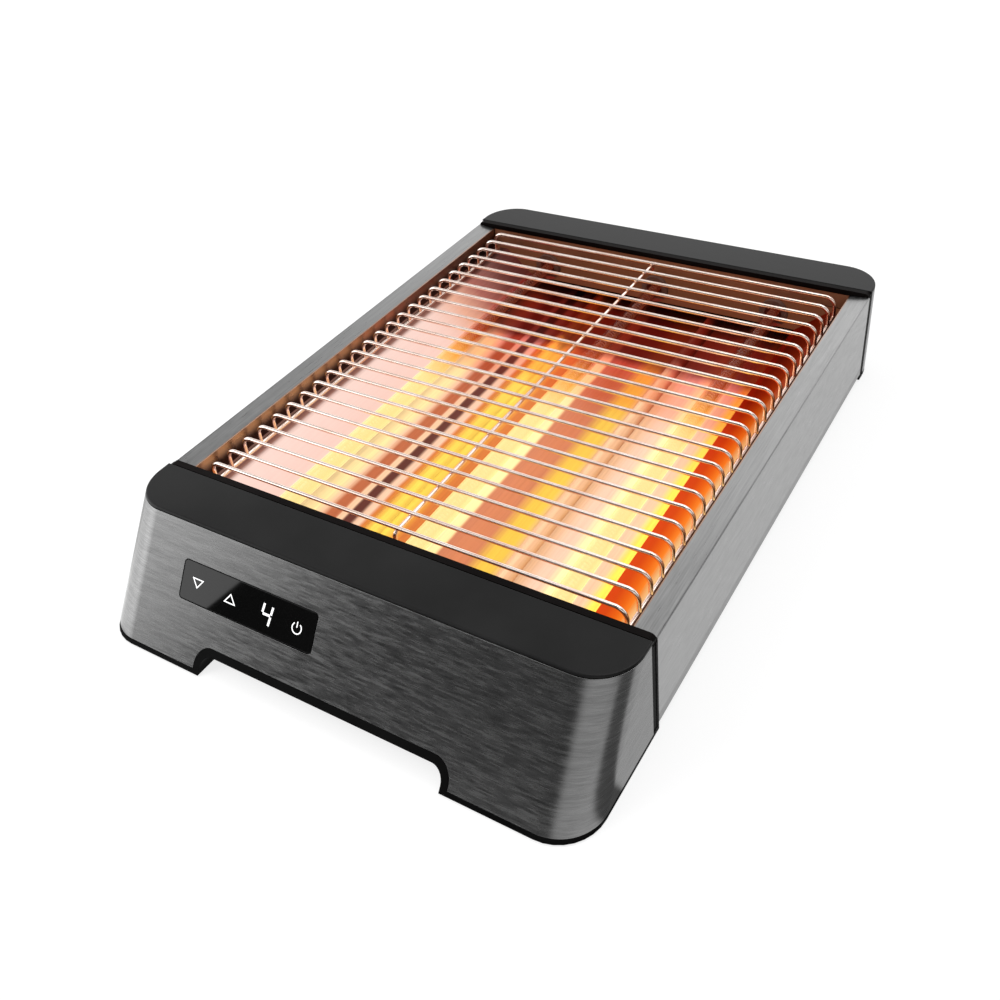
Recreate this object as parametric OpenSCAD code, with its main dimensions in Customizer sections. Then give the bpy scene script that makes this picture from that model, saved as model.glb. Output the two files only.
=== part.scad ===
// Flat-bed toaster: a wire rack over three quartz tubes, between two end caps.
// Millimetres, +Z up, front at -Y, origin on the table under the middle of the body.

/* [Body] */
// Length of the toasting well between the end caps
well_length = 300; // [260:1:340]
// Width of the body at its soles
base_width = 275; // [262:1:300]
// Height of the end caps above the table
body_height = 60; // [58:0.5:70]
// Inward lean of each side between the soles and the top
side_lean = 2; // [0:0.5:4]
// Radius of the four upright corners
corner_r = 22; // [16:1:26]

/* [End caps] */
// Depth of the front cap along its top
front_depth = 32.5; // [28:0.5:40]
// Depth of the rear cap
rear_depth = 30; // [28:0.5:40]
// Forward reach of the raked front between its top and its soles
rake_run = 40.8; // [32:0.2:50]
// Thickness of the cap tops
cap_t = 3; // [2:0.5:4]
// Height of the cap skirts behind the plates
cap_skirt = 7; // [4:0.5:8]
// Wall of the plastic mouldings
wall = 2.5; // [1.5:0.1:3]
// Height of the plastic trim below the plates
trim_h = 3; // [2.5:0.5:5]
// Width of the plastic strip between a plate and a side panel
seam_w = 1.6; // [1:0.1:2.5]
// Height of the leg soles above the table
sole_lift = 1; // [0.5:0.1:2]
// Shadow gap along the edges of the plates
shadow_gap = 0.3; // [0.1:0.1:0.6]

/* [Arches] */
// Width of the arch between the front legs
front_arch_w = 144; // [110:1:160]
// Height of the front arch above the table
front_arch_h = 14.2; // [12:0.1:16]
// Radius of the arches' upper corners
arch_r = 8; // [3:0.5:10]
// Wall around the arches
arch_wall = 2; // [1.5:0.1:3]

/* [Side panels] */
// Thickness of the brushed sheet
sheet_t = 0.8; // [0.6:0.1:1.2]
// Width of the turned-in rim
rim_w = 12; // [8:0.5:14]
// Drop of the rim below the cap tops
rim_step = 2; // [0.5:0.5:3]
// Fall of the rim towards the well
rim_fall = 1.2; // [0:0.2:2]
// Drop from the rim to the ledge that carries the rack
ledge_drop = 14.2; // [12:0.2:16]
// Width of the ledge
ledge_w = 11; // [8:0.5:13]
// Height of the side panels' lower edge above the table
side_lift = 5; // [3:0.5:7]
// Width of the hem along the lower edge
hem_w = 6; // [3:0.5:8]

/* [Wire rack] */
// Number of cross wires
wire_count = 25; // [21:2:27]
// Distance of the first and last cross wires from the end caps
rack_end = 8.4; // [7:0.2:14]
// Diameter of the cross wires
wire_d = 2.2; // [1.6:0.1:2.8]
// Bend radius at the ends of the cross wires
wire_bend = 8; // [5:0.5:9]
// Diameter of the side rails
rail_d = 3; // [2:0.1:4]
// Gap between the rim and the bent ends
rack_gap = 4.4; // [3:0.2:7]
// Drop of the rack's top below the cap tops
rack_drop = 1; // [0:0.5:3]
// Drop of the ends of the centre wire
centre_drop = 6; // [4:0.5:8]

/* [Heaters] */
// Distance of the outer tubes from the tray's sides
tube_margin = 16; // [12:0.5:26]
// Outer diameter of the quartz tubes
tube_d = 10; // [8:0.5:12]
// Wall of the quartz tubes
tube_wall = 1; // [0.8:0.1:1.5]
// Diameter of the wound coils
coil_d = 6; // [4:0.5:6.5]
// Diameter of the coils' end pins
pin_d = 2; // [1.5:0.1:2.5]
// Body diameter of the ceramic holders
holder_d = 14; // [13.5:0.1:15]
// Flange diameter of the ceramic holders
holder_flange_d = 18; // [16.5:0.5:20]
// Flange thickness of the ceramic holders
holder_flange_t = 3; // [2:0.5:4]
// Reach of the ceramic holders behind the bulkheads
holder_reach = 13; // [11:0.5:15]
// Depth that a tube enters its holder
tube_seat = 10; // [8:0.5:10.5]
// Width of the bus bars
busbar_w = 8; // [6:0.5:10]

/* [Inner frame] */
// Thickness of the base pan and bulkheads
pan_t = 1; // [0.8:0.1:1.5]
// Gap between the front arch and the base pan
pan_rise = 0.8; // [0.4:0.1:1.5]
// Depth of the base pan's side flanges
pan_flange = 9; // [6:0.5:9.5]
// Number of vent slots along the pan
vent_count = 8; // [4:1:10]
// Length of a vent slot
vent_length = 22; // [12:1:24]
// Width of a vent slot
vent_w = 3; // [2:0.5:4]
// Height of the bulkheads above the base pan
bulkhead_h = 31; // [29:0.5:32]

/* [Crumb tray] */
// Distance of the tray's sides from the body's sides at the soles
tray_margin = 41.5; // [38.5:0.5:46]
// Height of the tray's walls
tray_h = 5.3; // [5:0.1:6]
// Foot width of the ribs in the tray floor
rib_w = 10; // [8:0.5:14]
// Height of the ribs
rib_h = 4.5; // [3:0.1:5]
// Thickness of the runners' shelf
runner_t = 3; // [2:0.5:3.5]
// Width of the runners' shelf
runner_w = 12; // [8:0.5:16]
// Room above the tray where it passes under the rear cap
tray_headroom = 2.5; // [1.5:0.1:3]
// Overlap of the handle beyond the tray on each side
handle_over = 5.2; // [4.2:0.2:6]
// Thickness of the handle
handle_t = 4.8; // [4:0.1:6]
// Length of the finger groove
groove_l = 80; // [60:1:100]
// Radius of the finger groove
groove_r = 4; // [3:0.2:4.4]

/* [Controls] */
// Width of the touch lens
lens_w = 82; // [70:1:84]
// Height of the touch lens along the slope
lens_h = 19.6; // [18:0.1:21]
// Place of the lens centre left of the middle
lens_left = 49.3; // [45:0.1:56]
// Height of the lens centre as a share of the body's height
lens_share = 0.60833; // [0.6:0.001:0.62]
// Corner radius of the lens
lens_r = 2; // [1:0.1:3]
// Thickness of the lens
lens_t = 2; // [1.6:0.1:2.5]
// Width of the flange that holds the lens behind the plate
lens_lap = 3; // [2:0.1:4]
// Depth of the bracket between lens and control board
bracket_depth = 8; // [7:0.1:8.5]
// Thickness of the circuit boards
board_t = 1.6; // [1:0.1:2]
// Length of the power board
power_l = 70; // [66:1:74]
// Depth of the power board
power_d = 32; // [30:0.5:33]

/* [Fasteners and feet] */
// Diameter of the screws
screw_d = 2.8; // [2:0.1:3.2]
// Diameter of the screw heads
head_d = 6; // [5:0.1:6.4]
// Height of the screw heads
head_h = 2; // [1.5:0.1:2.5]
// Diameter of the rubber feet
foot_d = 15.6; // [12:0.2:16]
// Depth of the recess that holds a foot
foot_recess = 1.5; // [1:0.1:1.8]

/* [Clearances] */
// Gap around pieces that are seated in one another
fit_gap = 0.15; // [0.1:0.05:0.25]
// Running gap around the sliding tray
slide_gap = 0.2; // [0.2:0.05:0.4]

/* [Hidden] */
$fn = 48;
// Facets of the circles inside blended forms
blend_fn = 32;
// Thickness of the slices that a blended form is drawn between
slice = 0.02;
// Overrun of a cut past the face that it opens
cut = 1;

overall_length = well_length + front_depth + rear_depth + rake_run;
y_back = overall_length / 2;
y_toe = -y_back;
y_rs = y_back - rear_depth;
y_fs = y_rs - well_length;
y_mid = (y_fs + y_rs) / 2;
rise = body_height - sole_lift;
rake = atan(rake_run / rise);

// Room between the rear arch and the holders
holder_headroom = 1;

// Levels, from the table upwards
floor_top = sole_lift + trim_h;
pan_z = front_arch_h + pan_rise;
pan_top = pan_z + pan_t;
shelf_top = pan_top + runner_t;
tray_z = shelf_top + slide_gap;
tray_floor = tray_z + sheet_t;
tray_top = tray_z + tray_h;
rear_arch_h = tray_top + tray_headroom;
rear_roof = rear_arch_h + arch_wall;
tube_z = rear_roof + holder_d / 2 + holder_headroom;
bulkhead_top = pan_top + bulkhead_h;
rim_z = body_height - rim_step;
ledge_z = rim_z - ledge_drop;
cap_under = body_height - cap_t;
rack_z = body_height - rack_drop - wire_d / 2;
lens_z = body_height * lens_share;

// Lugs that hold the base pan
lug_w = 13;
lug_t = 5;
lug_root = 8;
lug_reach = 14;

// Half widths, from the middle outwards
post_in = 11.5;
foot_in = 25.5;
lug_gap = 2;
reflector_lap = 3.5;
tray_half = base_width / 2 - tray_margin;
tube_pitch = tray_half - tube_margin;
handle_half = tray_half + handle_over;
rear_arch_w = 2 * (handle_half + 4 * slide_gap);
reflector_foot = tray_half - reflector_lap;
rim_in = half_w(rim_z) - rim_w;
leg_x = rim_in - rack_gap - wire_d / 2;
post_x = base_width / 2 - post_in;
lug_x = rear_arch_w / 2 + arch_wall + lug_w / 2 + lug_gap;
foot_x = base_width / 2 - foot_in;

// Inset of what lies behind a plate
lap = sheet_t + fit_gap;
plate_low = floor_top + shadow_gap;
plate_high = cap_under - shadow_gap;
frame_w = 5;
post_d = 10;
boss_d = 8;
boss_z = body_height / 2;
post_back = 15;
screw_grip = 16;
screw_seat = 6;
upstand_h = 4;
front_upstand = pan_top + upstand_h;
rear_upstand = rear_roof + upstand_h;
front_foot_back = 50;
head_gap = 0.5;

// Controls, in the raked frame of the front face
lens_y = front_y(lens_z);
bracket_wall = 1.5;
bracket_w = lens_w + 2 * (lens_lap + bracket_wall);
bracket_h = lens_h + 2 * (lens_lap + bracket_wall);
key_shares = [-0.379, -0.129, 0.376];
digit_place = 0.15 * lens_w;

// Boards and what they carry
power_x = 4;
power_back = 18;
standoff_h = 3.3;
standoff_d = 6;
standoff_in = 5;
board_z = front_arch_h + arch_wall + standoff_h;
board_top = board_z + board_t;
board_screw_d = 2;
header_back = 9;
header_size = [9, 12, 9];

// Gland, harness and rear wiring
gland_in = 7;
gland_x = rear_arch_w / 2 - gland_in;
gland_z = (rear_upstand + cap_under - cap_skirt) / 2;
gland_d = 12;
gland_l = 8;
collar_w = 1.5;
collar_t = 2;
cord_d = 7;
harness_d = 4.4;
harness_x = lug_x;
harness_room = 1;
harness_rise = 2;
harness_z = tray_top + harness_rise;

plastic_black = "#262626";
steel = "#8d8d8f";
bright_steel = "#c9c9cc";
wire_chrome = "#d8d4d0";
quartz = "#ff9a3c";
coil_red = "#ff5a1f";
ceramic_white = "#e9e4d8";
copper = "#b98a4a";
board_green = "#2f6b3d";
gloss_black = "#0a0a0b";
rubber_black = "#1c1c1c";

// Half width of the leaning body at a height
function half_w(z) = base_width / 2 - side_lean * (z - sole_lift) / rise;

// Place of the raked front face at a height
function front_y(z) = y_toe + rake_run * (z - sole_lift) / rise;

// The two ends share one description, drawn with the outer face towards -Y
function face_y(end, z) = end == "front" ? front_y(z) : -y_back;
function seam_y(end) = end == "front" ? y_fs : -y_rs;
function arch_w(end) = end == "front" ? front_arch_w : rear_arch_w;
function arch_h(end) = end == "front" ? front_arch_h : rear_arch_h;
function upstand_z(end) = end == "front" ? front_upstand : rear_upstand;
function foot_y(end) = seam_y(end) - (end == "front" ? front_foot_back : post_back);
function post_y(end) = seam_y(end) - post_back;

module in_end(end) {
    if (end == "rear") mirror([0, 1, 0]) children();
    else children();
}

module both_sides() {
    for (side = [-1, 1]) mirror([side < 0 ? 1 : 0, 0, 0]) children();
}

// Level outline of an end, rounded at its outer corners
module end_slice(end, inset, z, at_z) {
    r = corner_r - inset;
    half = half_w(z) - inset;
    for (side = [-1, 1]) {
        translate([side * (half - r), face_y(end, z) + inset + r, at_z]) rotate(side > 0 ? 270 : 180)
            rotate_extrude(angle = 90, $fn = blend_fn) square([r, slice]);
        translate([side * (half - slice / 2) - slice / 2, seam_y(end) - slice, at_z])
            cube(slice);
    }
}

// Solid of an end between two heights, drawn in by a level inset
module end_form(end, inset, z0, z1) {
    hull() {
        end_slice(end, inset, z0, z0);
        end_slice(end, inset, z1, z1 - slice);
    }
}

// Everything on the well side of a level line through an end
module beyond(y) {
    translate([-base_width, y, -body_height]) cube([2 * base_width, overall_length, 3 * body_height]);
}

// Upright outline of an arch with rounded upper corners
module arch_outline(half, top, r) {
    translate([-half, -body_height]) square([2 * half, top - r + body_height]);
    translate([r - half, -body_height]) square([2 * (half - r), top + body_height]);
    for (side = [-1, 1]) translate([side * (half - r), top - r]) circle(r);
}

// Arch run through an end
module arch_cut(end, grow) {
    along(seam_y(end) - overall_length, seam_y(end) + lug_reach)
        arch_outline(arch_w(end) / 2 + grow, arch_h(end) + grow, arch_r + grow);
}

// Cap moulding: top, skirt behind the plate, wall to the well and two screw bosses
module end_cap(end) {
    seam = seam_y(end);
    root = cap_under + cap_t / 2;
    color(plastic_black) in_end(end) difference() {
        union() {
            end_form(end, 0, cap_under, body_height);
            difference() {
                end_form(end, lap, cap_under - cap_skirt, root);
                end_form(end, lap + wall, cap_under - cap_skirt - cut, cap_under);
                beyond(seam - seam_w - fit_gap);
            }
            translate([-rim_in, seam - wall, bulkhead_top + fit_gap])
                cube([2 * rim_in, wall, root - bulkhead_top - fit_gap]);
            both_sides() translate([post_x, post_y(end), boss_z]) cylinder(d = boss_d, h = root - boss_z);
        }
        both_sides() translate([post_x, post_y(end), boss_z - cut])
            cylinder(d = screw_d + 2 * fit_gap, h = screw_grip + cut);
        if (end == "rear") gland_room();
    }
}

// Lug under the base pan, on a pedestal inside the leg
module pan_lug(seam) {
    root = floor_top - trim_h / 2;
    translate([lug_x - lug_w / 2, seam - lug_root, root]) cube([lug_w, lug_root, pan_z - root]);
    translate([lug_x - lug_w / 2, seam - lug_root, pan_z - lug_t])
        cube([lug_w, lug_root + lug_reach, lug_t]);
}

// Lower moulding: soles, trim, legs, arch surround and the strip beside the side panel
module end_base(end) {
    seam = seam_y(end);
    root = floor_top - trim_h / 2;
    color(plastic_black) in_end(end) difference() {
        union() {
            end_form(end, 0, sole_lift, floor_top);
            difference() {
                end_form(end, lap, root, upstand_z(end));
                end_form(end, lap + wall, floor_top, upstand_z(end) + cut);
            }
            intersection() {
                end_form(end, 0, sole_lift, plate_high);
                both_sides() translate([base_width / 2 - frame_w, seam - seam_w, 0])
                    cube([frame_w, seam_w, body_height]);
            }
            intersection() {
                end_form(end, 0, sole_lift, arch_h(end) + arch_wall);
                arch_cut(end, arch_wall);
            }
            both_sides() pan_lug(seam);
            both_sides() translate([post_x, post_y(end), root]) cylinder(d = post_d, h = boss_z - root);
            if (end == "front") power_places() cylinder(d = standoff_d, h = standoff_h + arch_wall / 2);
        }
        arch_cut(end, 0);
        both_sides() translate([post_x, post_y(end), 0]) {
            cylinder(d = head_d + 2 * head_gap, h = boss_z - screw_seat);
            cylinder(d = screw_d + 2 * head_gap, h = body_height);
        }
        both_sides() translate([lug_x, seam + lug_reach / 2, 0])
            cylinder(d = screw_d + 2 * fit_gap, h = pan_top);
        both_sides() translate([foot_x, foot_y(end), 0])
            cylinder(d = foot_d + 2 * fit_gap, h = sole_lift + foot_recess);
        if (end == "front") power_places() cylinder(d = board_screw_d + 2 * fit_gap, h = body_height);
        else gland_room();
    }
}

// Brushed sheet wrapped around an end, cut out around the arch
module end_plate(end) {
    color(steel) in_end(end) difference() {
        end_form(end, 0, plate_low, plate_high);
        end_form(end, sheet_t, plate_low - cut, plate_high + cut);
        beyond(seam_y(end) - seam_w - shadow_gap);
        arch_cut(end, arch_wall + shadow_gap);
        if (end == "front") on_lens() rounded_plate(lens_w, lens_h, lens_r, -cut, 2 * cut + lens_t);
        else at_gland() cylinder(d = gland_d + 2 * fit_gap, h = 4 * wall, center = true);
    }
}

module front_cap() end_cap("front");
module front_base() end_base("front");
module front_plate() end_plate("front");
module rear_cap() end_cap("rear");
module rear_base() end_base("rear");
module rear_plate() end_plate("rear");

// Right-hand side panel: hem, leaning wall, turned-in rim and skirt down to the ledge
module side_section() {
    low = half_w(side_lift);
    top = half_w(rim_z);
    hem_top = side_lift + sheet_t;
    polygon([
        [low, side_lift],
        [top, rim_z],
        [rim_in, rim_z - rim_fall],
        [rim_in, ledge_z],
        [rim_in + sheet_t, ledge_z],
        [rim_in + sheet_t, rim_z - rim_fall - sheet_t],
        [top - sheet_t, rim_z - sheet_t],
        [half_w(hem_top) - sheet_t, hem_top],
        [low - hem_w, hem_top],
        [low - hem_w, side_lift]
    ]);
}

// Runs a section drawn in X and Z along the body between two places
module along(y0, y1) {
    translate([0, y1, 0]) rotate([90, 0, 0]) linear_extrude(y1 - y0) children();
}

module right_side_panel() color(steel) along(y_fs, y_rs) side_section();
module left_side_panel() mirror([1, 0, 0]) right_side_panel();

// Bottom sheet with side flanges, vents and the holes of its four screws
module base_pan() {
    low = pan_top - pan_flange;
    edge_low = half_w(low) - sheet_t - fit_gap;
    edge_top = half_w(pan_top) - sheet_t - fit_gap;
    vent_step = well_length / (vent_count + 1);
    color(bright_steel) difference() {
        along(y_fs, y_rs) polygon([
            [edge_top, pan_top], [edge_low, low], [edge_low - pan_t, low], [edge_top - pan_t, pan_z],
            [pan_t - edge_top, pan_z], [pan_t - edge_low, low], [-edge_low, low], [-edge_top, pan_top]
        ]);
        for (i = [1 : vent_count], j = [-1, 0, 1])
            translate([j * tube_pitch / 2, y_fs + i * vent_step, pan_z])
                cube([vent_length, vent_w, 4 * pan_t], center = true);
        pan_screw_places() translate([0, 0, -pan_t]) cylinder(d = screw_d + 2 * head_gap, h = 4 * pan_t);
    }
}

module pan_screw_places() {
    for (y = [y_fs + lug_reach / 2, y_rs - lug_reach / 2], side = [-1, 1])
        translate([side * lug_x, y, pan_top]) children();
}

// Angle rail that carries and guides one edge of the tray
module right_runner() {
    guide = tray_half + 2 * slide_gap;
    color(bright_steel) along(y_fs + pan_t, y_rs - pan_t) polygon([
        [guide - runner_w, pan_top], [guide + pan_t, pan_top], [guide + pan_t, tray_top],
        [guide, tray_top], [guide, shelf_top], [guide - runner_w, shelf_top]
    ]);
}
module left_runner() mirror([1, 0, 0]) right_runner();

// Half of the tray floor's line, with a rib midway between two tubes
rib_x = tube_pitch / 2;
rib_half = rib_w / 2;
crown_share = 0.4;
rib_crown = rib_half * crown_share;
floor_line = [
    [rib_x - rib_half, 0], [rib_x - rib_crown, rib_h], [rib_x + rib_crown, rib_h], [rib_x + rib_half, 0]
];
tray_end_gap = 3;
tray_front = y_fs + tray_end_gap;
tray_rear = y_back - handle_t;

module crumb_tray() {
    inner = tray_half - sheet_t;
    right_top = [for (p = floor_line) [p[0], p[1] + tray_floor]];
    left_top = [for (i = [3 : -1 : 0]) [-floor_line[i][0], floor_line[i][1] + tray_floor]];
    right_low = [for (i = [3 : -1 : 0]) [floor_line[i][0], floor_line[i][1] + tray_z]];
    left_low = [for (p = floor_line) [-p[0], p[1] + tray_z]];
    color(bright_steel) difference() {
        union() {
            along(tray_front, tray_rear) polygon(concat(
                [[-inner, tray_top], [-inner, tray_floor]], left_top, right_top,
                [[inner, tray_floor], [inner, tray_top], [tray_half, tray_top], [tray_half, tray_z]],
                right_low, left_low, [[-tray_half, tray_z], [-tray_half, tray_top]]
            ));
            for (y = [tray_front, tray_rear - sheet_t]) translate([-inner, y, tray_floor - sheet_t / 2])
                cube([2 * inner, sheet_t, tray_top - tray_floor + sheet_t / 2]);
        }
        rivet_places() cylinder(d = rivet_d + 2 * fit_gap, h = 4 * sheet_t, center = true);
    }
}

rivet_d = 2.4;
rivet_head_d = 4;
rivet_head_h = 1;
rivet_in = 26;
rivet_x = tray_half - rivet_in;
rivet_z = (tray_floor + tray_top) / 2;
module rivet_places() {
    for (side = [-1, 1]) translate([side * rivet_x, tray_rear - sheet_t / 2, rivet_z])
        rotate([90, 0, 0]) children();
}

// Plastic panel that closes the rear arch, with a groove to pull by
module tray_handle() {
    low = pan_z - slide_gap;
    top = rear_arch_h - slide_gap;
    color(plastic_black) difference() {
        along(tray_rear, y_back) intersection() {
            arch_outline(handle_half, top, arch_r - slide_gap);
            translate([-base_width / 2, low]) square([base_width, body_height]);
        }
        translate([0, y_back, low]) rotate([0, 90, 0]) cylinder(r = groove_r, h = groove_l, center = true);
        rivet_places() cylinder(d = rivet_d + 2 * fit_gap, h = handle_t + sheet_t, center = true);
    }
}

module tray_rivets() {
    grip = handle_t / 2 - fit_gap;
    color(bright_steel) rivet_places() {
        translate([0, 0, sheet_t / 2]) cylinder(d = rivet_head_d, h = rivet_head_h);
        translate([0, 0, -grip]) cylinder(d = rivet_d, h = grip + sheet_t);
    }
}

// Sloping inner wall with the ledge for the rack
module right_reflector() {
    ledge_in = rim_in + sheet_t - ledge_w;
    foot_z = tray_top + 3.5 * slide_gap;
    color(bright_steel) along(y_fs + pan_t, y_rs - pan_t) polygon([
        [rim_in + 2 * sheet_t, ledge_z], [rim_in + 2 * sheet_t, ledge_z - sheet_t],
        [ledge_in, ledge_z - sheet_t], [reflector_foot, foot_z],
        [reflector_foot, foot_z + sheet_t], [ledge_in - sheet_t / 2, ledge_z]
    ]);
}
module left_reflector() mirror([1, 0, 0]) right_reflector();

module tube_places() {
    for (i = [-1, 0, 1]) translate([i * tube_pitch, 0, tube_z]) rotate([-90, 0, 0]) children();
}

// End wall of the well, with the holes for the ceramic holders
module bulkhead(end) {
    half = rim_in - sheet_t;
    slot = tray_half + tray_end_gap;
    color(bright_steel) in_end(end) difference() {
        translate([-half, seam_y(end), pan_top]) cube([2 * half, pan_t, bulkhead_h]);
        tube_places() cylinder(d = holder_d + 2 * fit_gap, h = 2 * overall_length, center = true);
        translate([-harness_x, 0, harness_z]) rotate([90, 0, 0])
            cylinder(d = harness_d + 2 * harness_room, h = 2 * overall_length, center = true);
        if (end == "rear") translate([-slot, seam_y(end) - cut, 0])
            cube([2 * slot, pan_t + 2 * cut, rear_arch_h]);
    }
}
module front_bulkhead() bulkhead("front");
module rear_bulkhead() bulkhead("rear");

// Cross wire: straight top, two bends and two legs down to the rails
module cross_wire(foot) {
    flat = leg_x - wire_bend;
    rotate([0, 90, 0]) cylinder(d = wire_d, h = 2 * flat, center = true, $fn = 24);
    both_sides() {
        translate([flat, 0, -wire_bend]) rotate([90, 0, 0])
            rotate_extrude(angle = 90, $fn = 48) translate([wire_bend, 0]) circle(d = wire_d, $fn = 24);
        translate([leg_x, 0, -foot]) cylinder(d = wire_d, h = foot - wire_bend, $fn = 24);
    }
}

// Welded grid: cross wires on two rails, with a centre wire under them
weld_share = 0.8;
module wire_rack() {
    rail_z = ledge_z + rail_d / 2 + fit_gap / 3;
    span = well_length - 2 * rack_end;
    wire_pitch = span / (wire_count - 1);
    rail_l = span + 2 * rail_d;
    centre_z = rack_z - wire_d * weld_share;
    centre_l = span + 2 * wire_d;
    color(wire_chrome) {
        for (i = [0 : wire_count - 1])
            translate([0, y_mid - span / 2 + i * wire_pitch, rack_z]) cross_wire(rack_z - rail_z);
        both_sides() translate([leg_x, y_mid, rail_z]) rotate([90, 0, 0])
            cylinder(d = rail_d, h = rail_l, center = true, $fn = 24);
        translate([0, y_mid, centre_z]) {
            rotate([90, 0, 0]) cylinder(d = wire_d, h = centre_l, center = true, $fn = 24);
            for (y = [-centre_l / 2, centre_l / 2]) translate([0, y, 0]) {
                sphere(d = wire_d, $fn = 24);
                translate([0, 0, -centre_drop]) cylinder(d = wire_d, h = centre_drop, $fn = 24);
            }
        }
    }
}

// Tube from holder to holder
tube_length = well_length - 2 * (pan_t + holder_flange_t) + 2 * tube_seat;
coil_short = 2;
pin_over = 3;
module quartz_tube(place) {
    color(quartz) translate([place * tube_pitch, y_mid, tube_z]) rotate([90, 0, 0]) difference() {
        cylinder(d = tube_d, h = tube_length, center = true);
        cylinder(d = tube_d - 2 * tube_wall, h = tube_length + cut, center = true);
    }
}

// Wound element as its outer cylinder, with the pins that leave through the holders
module heater_coil(place) {
    color(coil_red) translate([place * tube_pitch, y_mid, tube_z]) rotate([90, 0, 0]) {
        cylinder(d = coil_d, h = tube_length - 2 * coil_short, center = true);
        cylinder(d = pin_d, h = well_length + 2 * (holder_reach + pin_over), center = true);
    }
}

// Ceramic bush that seats a tube in a bulkhead and lets its pin through
module holder(end, place) {
    mouth = pan_t + holder_flange_t;
    color(ceramic_white) in_end(end) translate([place * tube_pitch, seam_y(end), tube_z]) rotate([-90, 0, 0])
        difference() {
            union() {
                translate([0, 0, -holder_reach]) cylinder(d = holder_d, h = holder_reach + mouth);
                translate([0, 0, pan_t]) cylinder(d = holder_flange_d, h = holder_flange_t);
            }
            translate([0, 0, mouth - tube_seat - fit_gap])
                cylinder(d = tube_d + 2 * fit_gap, h = tube_seat + cut);
            translate([0, 0, -2 * holder_reach]) cylinder(d = pin_d + 2 * fit_gap, h = 3 * holder_reach);
        }
}

// Strip that joins the pins of the three tubes
module busbar(end) {
    color(copper) in_end(end) difference() {
        translate([-tube_pitch - busbar_w / 2, seam_y(end) - holder_reach - sheet_t, tube_z - busbar_w / 2])
            cube([2 * tube_pitch + busbar_w, sheet_t, busbar_w]);
        tube_places() cylinder(d = pin_d + 2 * fit_gap, h = 2 * overall_length, center = true);
    }
}
module front_busbar() busbar("front");
module rear_busbar() busbar("rear");

// Frame at the lens: origin on the outer face, -Y outwards, Z up the slope
module on_lens() {
    translate([-lens_left, lens_y, lens_z]) rotate([-rake, 0, 0]) children();
}

// Upright plate with round corners, from one depth to another
module rounded_plate(w, h, r, y0, y1) {
    translate([0, y1, 0]) rotate([90, 0, 0]) linear_extrude(y1 - y0) {
        square([w - 2 * r, h], center = true);
        square([w, h - 2 * r], center = true);
        for (x = [-1, 1], z = [-1, 1]) translate([x * (w / 2 - r), z * (h / 2 - r)]) circle(r);
    }
}

// Gloss touch panel, flush in the plate, with a flange behind it
module control_lens() {
    color(gloss_black) on_lens() {
        rounded_plate(lens_w - 2 * fit_gap, lens_h - 2 * fit_gap, lens_r - fit_gap, 0, lens_t);
        rounded_plate(lens_w + 2 * lens_lap, lens_h + 2 * lens_lap, lens_r, lap, lens_t);
    }
}

// Open box behind the lens on two legs, with the control board across its back
module control_bracket() {
    leg_w = 6;
    leg_d = 4;
    color(plastic_black) {
        on_lens() difference() {
            rounded_plate(bracket_w, bracket_h, lens_r, lens_t, lens_t + bracket_depth);
            rounded_plate(lens_w, lens_h, lens_r, lens_t - cut, lens_t + bracket_depth + cut);
        }
        intersection() {
            for (x = [-1, 1]) translate([x * lens_w / 4 - lens_left, y_mid, front_arch_h + arch_wall])
                translate([-leg_w / 2, -overall_length, 0]) cube([leg_w, overall_length, body_height]);
            on_lens() translate([-lens_w, lens_t + leg_d / 2, -bracket_h / 2 - body_height])
                cube([2 * lens_w, leg_d, body_height + 2 * bracket_wall]);
        }
    }
}

module control_board() {
    depth = lens_t + bracket_depth;
    color(board_green) on_lens()
        rounded_plate(lens_w + lens_lap, lens_h + lens_lap, lens_r, depth, depth + board_t);
}

// Seven-segment block between the board and the lens
module display_module() {
    block_w = 10;
    block_h = 13;
    color(plastic_black) on_lens() translate([digit_place - block_w / 2, lens_t, -block_h / 2])
        cube([block_w, bracket_depth, block_h]);
}

module touch_spring(key) {
    spring_d = 7;
    color(copper) on_lens() translate([key_shares[key] * lens_w, lens_t + fit_gap, 0]) rotate([-90, 0, 0])
        cylinder(d = spring_d, h = bracket_depth - fit_gap);
}

// The four corners of the power board, on the roof of the front arch
module power_places() {
    for (x = [power_x + standoff_in, power_x + power_l - standoff_in])
        for (y = [y_fs - power_back - standoff_in, y_fs - power_back - power_d + standoff_in])
            translate([x, y, board_z - standoff_h - arch_wall / 2]) children();
}

module power_board() {
    color(board_green) difference() {
        translate([power_x, y_fs - power_back - power_d, board_z]) cube([power_l, power_d, board_t]);
        power_places() cylinder(d = board_screw_d + 2 * fit_gap, h = body_height);
    }
}

// Block that stands on the power board, placed from the board's rear left corner
module on_power_board(x, back, size) {
    translate([power_x + x, y_fs - power_back - back - size[1], board_top]) cube(size);
}

module relay() color("#2d4f9e") on_power_board(16, 12, [19, 15.5, 15.5]);
module film_capacitor() color("#d9b23a") on_power_board(16, 1, [18, 7, 14]);
module transformer() color("#5a4632") on_power_board(38, 3, [22, 18, 18]);
module wire_header() color(ceramic_white) on_power_board(0, header_back, header_size);

// Three-way block on the roof of the rear arch
block_x = 70;
block_size = [40, 10, 15];
block_gap = 0.5;
block_y = y_back - lap - wall - block_size[1] - block_gap;
module terminal_block() {
    color(ceramic_white) translate([-block_x, block_y, rear_roof]) cube(block_size);
}

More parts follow.
